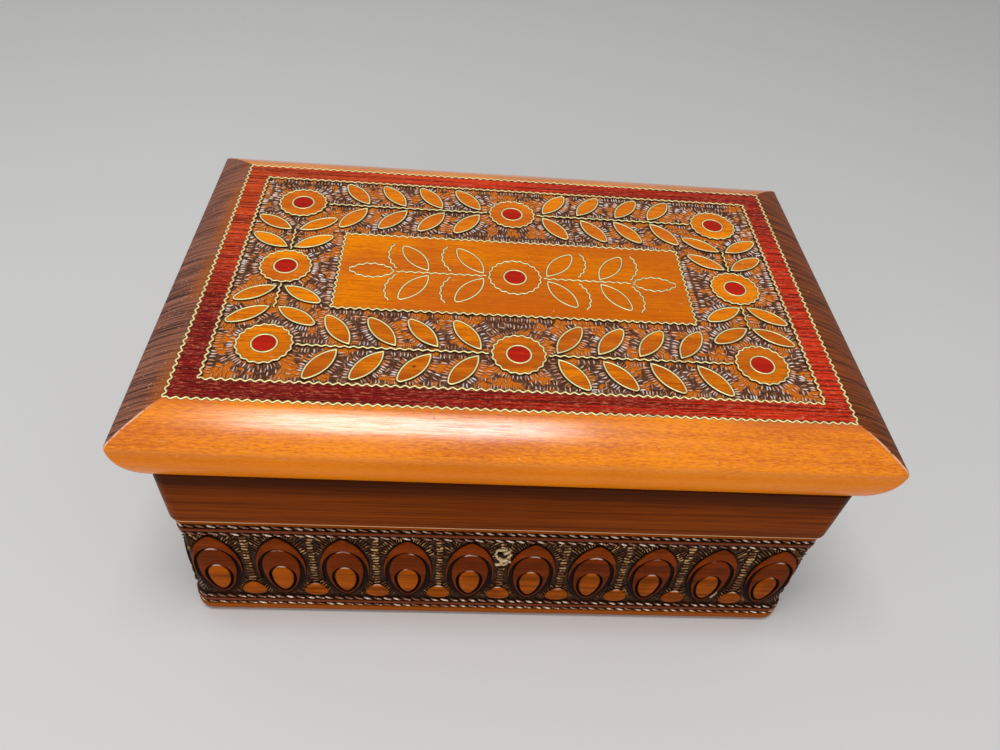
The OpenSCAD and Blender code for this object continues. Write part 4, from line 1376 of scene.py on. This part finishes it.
def base_finish(name, colours, along):
    """The plain band and the rim: brown-orange with fine dark grain, a painted shadow under the lid and a
    painted highlight along the shoulder.
    """
    band = Finish(name)
    dark, thin = fibres(band, along)
    streak = band.noise(band.stretched(0.012, 0.012, 3.6), 1.0, 4.0, 0.7)
    shade = band.rise(dark * 0.25 + streak, 0.45, 0.85)
    colour = band.mix(shade, colours.band, colours.band_dark)
    colour = band.mix(band.rise(band.z, RIM_H + 1, RIM_H - 1) * 0.5, colour, tint(166, 84, 14))
    # Painted shadow: the band darkens towards its top, where the lid overhangs it
    painted_lid_shadow = band.rise(band.z, BASE_H - 13.0, BASE_H - 2.0)
    colour = band.mix(painted_lid_shadow * 0.8, colour, tint(44, 16, 4))
    strip = band.rise(band.z, CARVED_TOP + 1.6, CARVED_TOP + 0.4) * 0.6
    colour = band.mix(strip, colour, tint(150, 74, 14))
    # Painted highlight: a broken pale line along the rounded shoulder under the plain strip
    painted_shoulder_highlight = band.rise(abs(band.z - CARVED_TOP - 1.7), 1.0, 0.4) * band.rise(streak, 0.3, 0.5)
    colour = band.mix(painted_shoulder_highlight * 0.95, colour, tint(250, 196, 146))
    inside_x = BASE_L / 2 - WALL_T + 0.3 - abs(band.x)
    inside_y = BASE_D / 2 - WALL_T + 0.3 - abs(band.y)
    inside = band.rise(band.least(inside_x, inside_y), -0.2, 0.1)
    bare = band.mix(dark, colours.raw_wood, colours.raw_dark)
    colour = band.mix(inside, colour, bare)
    normal = band.bump(thin, 0.3, 0.08)
    return band.finish(colour, 0.28 + shade * 0.14 + inside * 0.3, normal, Specular_IOR_Level=0.02)


def over_ground(finish):
    """Height over the ground of the carving, read from the place round all four walls."""
    past_x = finish.most(abs(finish.x) - (BASE_L / 2 - CORNER_R), 0.0)
    past_y = finish.most(abs(finish.y) - (BASE_D / 2 - CORNER_R), 0.0)
    out = finish.length(past_x, past_y) - CORNER_R
    slope = 2 * FLARE / (CARVED_TOP - RIM_H)
    return out - (FLARE - CARVE_D + slope * RIM_H) + finish.z * slope


def drop_finish(name, tone, colours, along, glint_low, painted_shade_top):
    """A brown carved form, with the dark ground's colour and painted shade in its cuts, painted shade at its
    foot and a painted glint on its upper edge.
    """
    form = Finish(name)
    dark, thin = fibres(form, along)
    patch = form.noise(form.place, 0.09, 2.0)
    shade = form.rise(dark * 0.6 + patch * 0.6, 0.3, 0.95)
    colour = form.mix(shade * 0.8, tone, colours.band_dark)
    # Painted shade: below this height the form turns towards the dark ground's colour, down to its foot
    colour = form.mix(form.rise(form.z, painted_shade_top, painted_shade_top - 7.0) * 0.85, colour, colours.groove)
    height = over_ground(form) + form.noise(form.place, 0.5, 2.0) * 0.15
    # The form's low sides take the dark ground's colour, partly as painted shade in the cuts
    top = form.rise(height, 0.75, 1.12)
    colour = form.mix(top, colours.groove, colour)
    edge = form.rise(height, 0.8, 0.95) * form.rise(height, 1.2, 1.08)
    # Painted highlight: a pale glint on the upper edge, where the coat also adds gloss
    glint = edge * form.rise(form.z, glint_low, glint_low + 1.0) * form.rise(patch, 0.4, 0.6)
    colour = form.mix(glint * 0.8, colour, tint(232, 196, 176))
    normal = form.bump(thin, 0.3, 0.08)
    return form.finish(
        colour, 0.42 - top * 0.1, normal, Specular_IOR_Level=0.02, Coat_Weight=glint, Coat_Roughness=0.12)


def ground_finish(colours):
    """The dark cut ground of the carving, with its fillets' tops brown."""
    ground = Finish("carved_ground")
    rough_cut = ground.noise(ground.place, 0.8, 4.0, 0.7)
    colour = ground.mix(ground.rise(rough_cut, 0.4, 0.75), colours.groove, tint(84, 46, 18))
    top = ground.rise(over_ground(ground), 0.8, 1.1)
    colour = ground.mix(top, colour, tint(106, 44, 8))
    normal = ground.bump(rough_cut, 0.6, 0.25)
    return ground.finish(colour, 0.5 - top * 0.14, normal, Specular_IOR_Level=0.1)


def torn_finish(colours):
    """Bare torn wood in the chips."""
    torn = Finish("torn_wood")
    fuzz = torn.noise(torn.stretched(0.5, 1.5, 1.5), 1.0, 4.0, 0.7)
    colour = torn.mix(torn.rise(fuzz, 0.4, 0.7), colours.torn_wood, tint(150, 116, 72))
    return torn.finish(colour, 0.7, torn.bump(fuzz, 0.5, 0.2))


def rope_finish():
    """Rope lines, dark low between their strands as dark ground and painted shade, with paler tops and
    painted highlights on them.
    """
    rope = Finish("carved_rope")
    wear_and_glint = rope.noise(rope.place, 0.35, 3.0, 0.6)
    # Low down the strands are dark, partly as painted shade between them; their tops are paler
    height = over_ground(rope) + wear_and_glint * 0.3
    top = rope.rise(height, 0.9, 1.3)
    colour = rope.mix(top, tint(46, 22, 10), tint(150, 90, 56))
    # Painted highlight: pale glints on some of the strand tops
    glint = top * rope.rise(wear_and_glint, 0.46, 0.62)
    colour = rope.mix(glint, colour, tint(248, 222, 196))
    normal = rope.bump(wear_and_glint, 0.3, 0.1)
    return rope.finish(
        colour, 0.24 + wear_and_glint * 0.12, normal, Specular_IOR_Level=0.2, Coat_Weight=top, Coat_Roughness=0.1)


def nick_finish(colours):
    """Cut bars and nicks: whitish gold high on the wall and brown lower down, their pale tops partly a
    painted highlight, and dark in their depth, partly painted shade.
    """
    nick = Finish("cut_bars")
    wear_and_glint = nick.noise(nick.place, 0.4, 3.0, 0.6)
    one = nick.cell_value(nick.place, 0.5)
    # Pale tops and dark depths stand partly for painted highlight and painted shade
    top = nick.rise(over_ground(nick) + wear_and_glint * 0.3, 0.55, 1.05)
    tops = nick.mix(nick.rise(one, 0.35, 0.9), tint(112, 64, 22), colours.nick)
    tops = nick.mix(nick.rise(nick.z, 48.0, 28.0) * 0.55, tops, tint(112, 64, 26))
    colour = nick.mix(top, tint(46, 24, 10), tops)
    return nick.finish(
        colour, 0.42 - top * 0.12, nick.bump(wear_and_glint, 0.3, 0.1), Specular_IOR_Level=0.2)


def brass_finish(colours):
    """Pale crimped strip with a darker patina low in its groove, and painted shade that darkens it towards
    the right.
    """
    strip = Finish("inlay_brass_strip")
    tarnish = strip.noise(strip.place, 0.12, 4.0, 0.6)
    fine = strip.noise(strip.place, 1.5, 2.0)
    shade = strip.rise(tarnish * 0.7 + fine * 0.4, 0.45, 0.8)
    # Painted shade: the patina grows towards the right, where the strips look greyer as the light falls
    right = strip.rise(strip.x, -30.0, 60.0)
    shade = strip.most(shade * (0.5 + right * 0.4), strip.rise(strip.z, STRIP_TOP - 0.12, STRIP_TOP - 0.6))
    colour = strip.mix(shade, colours.brass, colours.patina)
    return strip.finish(colour, 0.34 + shade * 0.2, strip.bump(fine, 0.2, 0.05), Metallic=0.3)


def seat_and_shadow_finish():
    """The dark varnish that fills the groove beside a strip, which also stands in as a painted shadow line.
    """
    seat = Finish("strip_seat_and_shadow")
    shade = seat.noise(seat.place, 0.4, 3.0)
    colour = seat.mix(shade, tint(34, 16, 10), tint(78, 42, 22))
    return seat.finish(colour, 0.4, seat.bump(shade, 0.2, 0.05))


def hinge_finish(colours):
    """Satin hinge brass, brushed along its length."""
    leaf = Finish("hinge_brass_satin")
    brush = leaf.noise(leaf.stretched(0.4, 6.0, 6.0), 1.0, 3.0)
    age = leaf.noise(leaf.place, 0.2, 3.0)
    colour = leaf.mix(leaf.rise(age, 0.45, 0.8), colours.hinge_brass, tint(130, 94, 44))
    return leaf.finish(colour, 0.28 + brush * 0.16, leaf.bump(brush, 0.25, 0.04), Metallic=1.0)


def steel_finish(colours):
    """Drawn steel of the pins and nails with spots of tarnish."""
    steel = Finish("nail_steel_drawn")
    spots = steel.noise(steel.place, 0.9, 4.0, 0.6)
    colour = steel.mix(steel.rise(spots, 0.5, 0.8), colours.steel, tint(92, 80, 70))
    return steel.finish(colour, 0.3 + spots * 0.2, steel.bump(spots, 0.15, 0.04), Metallic=1.0)


def bare_finish(colours):
    """Bare wood of the bottom board."""
    bare = Finish("bare_wood")
    dark, thin = fibres(bare, "X")
    colour = bare.mix(dark, colours.raw_wood, colours.raw_dark)
    return bare.finish(colour, 0.62 + dark * 0.12, bare.bump(thin, 0.4, 0.12))


# Operators


class BOX_OT_walls(bpy.types.Operator):
    """Carves the four walls"""

    bl_idname = "jewelry_box.walls"
    bl_label = "Carve Walls"

    def execute(self, context):
        colours = context.scene.box_colours
        shared = {
            "ground": ground_finish(colours),
            "rope": rope_finish(),
            "nick": nick_finish(colours),
            "torn": torn_finish(colours),
        }
        for along in ("X", "Y"):
            finish_of = dict(shared)
            finish_of["band"] = base_finish("base_wood_along_" + along.lower(), colours, along)
            for form, tone, glint_low, painted_shade_top in FRIEZE_FORMS:
                name = form + "_along_" + along.lower()
                tone = getattr(colours, tone)
                finish_of[form] = drop_finish(name, tone, colours, along, glint_low, painted_shade_top)
            for wall in WALLS:
                if (wall[3] % 180 == 0) == (along == "X"):
                    carve_wall(wall, context.scene.box_sizes, finish_of)
        return {"FINISHED"}


class BOX_OT_lid(bpy.types.Operator):
    """Moulds the lid board with its raised leaves, flowers and panel"""

    bl_idname = "jewelry_box.lid"
    bl_label = "Mould Lid"

    def execute(self, context):
        board = lid_board()
        smooth_by_angle(board, 28)
        islands = lid_islands()
        for island in islands:
            smooth_by_angle(island, 30)
        piece = join("lid_board_moulded", board, *islands)
        give(piece, lid_finish(context.scene.box_colours))
        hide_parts("lid_board")
        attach(piece, "lid")
        return {"FINISHED"}


class BOX_OT_punching(bpy.types.Operator):
    """Punches the field of the lid"""

    bl_idname = "jewelry_box.punching"
    bl_label = "Punch Field"

    def execute(self, context):
        marks = punched_marks(context.scene.box_sizes)
        if not marks:
            raise RuntimeError("no place was found for a punched mark")

        def on_field(mark, x, y, z):
            spot_x, spot_y, angle, long, wide, hand = mark
            return *rotated(x * long, y * wide * hand, angle, spot_x, spot_y), FIELD_Z + PUNCH_H * z

        piece = spread(crescent_stamp(), marks, on_field)
        close_up(piece)
        piece.name = piece.data.name = "lid_punched_marks"
        give(piece, punch_finish(context.scene.box_colours))
        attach(piece, "lid")
        return {"FINISHED"}


class BOX_OT_inlay(bpy.types.Operator):
    """Bends and sets the brass strips"""

    bl_idname = "jewelry_box.inlay"
    bl_label = "Set Inlay"

    def execute(self, context):
        brass, seat = brass_finish(context.scene.box_colours), seat_and_shadow_finish()
        for node, strips in inlay_strips(context.scene.box_sizes).items():
            piece = join(node + "_crimped", *strips)
            close_up(piece)
            smooth_by_angle(piece, 50)
            give(piece, brass, seat)
            for face in piece.data.polygons:
                heights = [piece.data.vertices[number].co.z / MM for number in face.vertices]
                in_seat = all(min(abs(z - SEAT_LOW), abs(z - SEAT_TOP)) < SEAT_MATCH for z in heights)
                face.material_index = int(in_seat)
            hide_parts(node)
            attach(piece, "lid")
        return {"FINISHED"}


class BOX_OT_fittings(bpy.types.Operator):
    """Finishes the hinges, pins, nails and the bottom board"""

    bl_idname = "jewelry_box.fittings"
    bl_label = "Finish Fittings"

    def execute(self, context):
        colours = context.scene.box_colours
        hinge, steel = hinge_finish(colours), steel_finish(colours)
        for node in HINGE_NODES:
            dress(node, hinge)
        for node in STEEL_NODES:
            dress(node, steel)
        dress("bottom_board", bare_finish(colours))
        return {"FINISHED"}


class BOX_OT_stage(bpy.types.Operator):
    """Sets the floor, the light and the camera"""

    bl_idname = "jewelry_box.stage"
    bl_label = "Set Stage"

    def execute(self, context):
        scene = context.scene
        settings = scene.box_stage
        deselect_all()
        bpy.ops.mesh.primitive_grid_add(
            x_subdivisions=FLOOR_CELLS, y_subdivisions=FLOOR_CELLS, size=FLOOR_SIZE, location=(0, 0, 0))
        floor = bpy.context.object
        floor.name = floor.data.name = "floor"
        give(floor, Finish("floor_plain").finish(scene.box_colours.floor, 0.9))

        soft_light("key_light", settings.key_power, KEY_PLACE, KEY_TURNS, KEY_SIZE)
        front = soft_light("front_light", settings.front_power, FRONT_PLACE, FRONT_TURNS, FRONT_SIZE)
        front.visible_glossy = False
        scene.world = studio_world(settings.world_strength)
        scene.camera = photo_camera(settings.lens)
        scene.view_settings.view_transform = "Standard"
        return {"FINISHED"}


def soft_light(name, power, place, turns, size):
    """A rectangular soft light, with its place and size in metres and its turns in degrees."""
    deselect_all()
    bpy.ops.object.light_add(
        type="AREA", location=place, rotation=[math.radians(part) for part in turns])
    light = bpy.context.object
    light.name = light.data.name = name
    light.data.energy = power
    light.data.shape = "RECTANGLE"
    light.data.size, light.data.size_y = size
    return light


def photo_camera(lens):
    """The camera as it stood for the photo."""
    yaw, pitch, roll = CAMERA_YAW, CAMERA_PITCH, CAMERA_ROLL
    ahead = Vector((
        math.sin(yaw) * math.cos(pitch), math.cos(yaw) * math.cos(pitch), -math.sin(pitch)))
    level = Vector((math.cos(yaw), -math.sin(yaw), 0))
    up = level.cross(ahead)
    right = math.cos(roll) * level + math.sin(roll) * up
    top = math.cos(roll) * up - math.sin(roll) * level
    deselect_all()
    bpy.ops.object.camera_add(location=(0, 0, 0))
    camera = bpy.context.object
    camera.name = "photo_camera"
    camera.data.lens = lens
    camera.data.sensor_width = 36
    camera.data.clip_start = 0.01
    turn = Matrix((right, top, -ahead)).transposed().to_4x4()
    camera.matrix_world = Matrix.Translation(Vector(CAMERA_PLACE) * MM) @ turn
    return camera


def studio_world(strength):
    """An even fill light from all round."""
    world = bpy.data.worlds.new("studio")
    world.use_nodes = True
    fill = world.node_tree.nodes["Background"]
    fill.inputs["Color"].default_value = (1, 1, 1, 1)
    fill.inputs["Strength"].default_value = strength
    return world


def dress(node, material):
    """Gives a CAD node its finish."""
    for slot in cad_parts[node].material_slots:
        slot.material = material


class BOX_PT_panel(bpy.types.Panel):
    """Lists the steps and the settings"""

    bl_idname = "BOX_PT_panel"
    bl_label = "Jewelry Box"
    bl_space_type = "VIEW_3D"
    bl_region_type = "UI"
    bl_category = "Jewelry Box"

    def draw(self, context):
        for step in STEPS:
            self.layout.operator(step.bl_idname)
        for group in (context.scene.box_sizes, context.scene.box_colours, context.scene.box_stage):
            for name in group.bl_rna.properties.keys():
                if name not in ("rna_type", "name"):
                    self.layout.prop(group, name)


GROUPS = (BoxSizes, BoxColours, StageSettings)
STEPS = (BOX_OT_walls, BOX_OT_lid, BOX_OT_punching, BOX_OT_inlay, BOX_OT_fittings, BOX_OT_stage)


def register():
    for part in GROUPS + STEPS + (BOX_PT_panel,):
        bpy.utils.register_class(part)
    bpy.types.Scene.box_sizes = PointerProperty(type=BoxSizes)
    bpy.types.Scene.box_colours = PointerProperty(type=BoxColours)
    bpy.types.Scene.box_stage = PointerProperty(type=StageSettings)


def unregister():
    del bpy.types.Scene.box_stage
    del bpy.types.Scene.box_colours
    del bpy.types.Scene.box_sizes
    for part in reversed(GROUPS + STEPS + (BOX_PT_panel,)):
        bpy.utils.unregister_class(part)


def main():
    register()
    for step in STEPS:
        group, name = step.bl_idname.split(".")
        getattr(getattr(bpy.ops, group), name)()


if __name__ == "__main__":
    main()
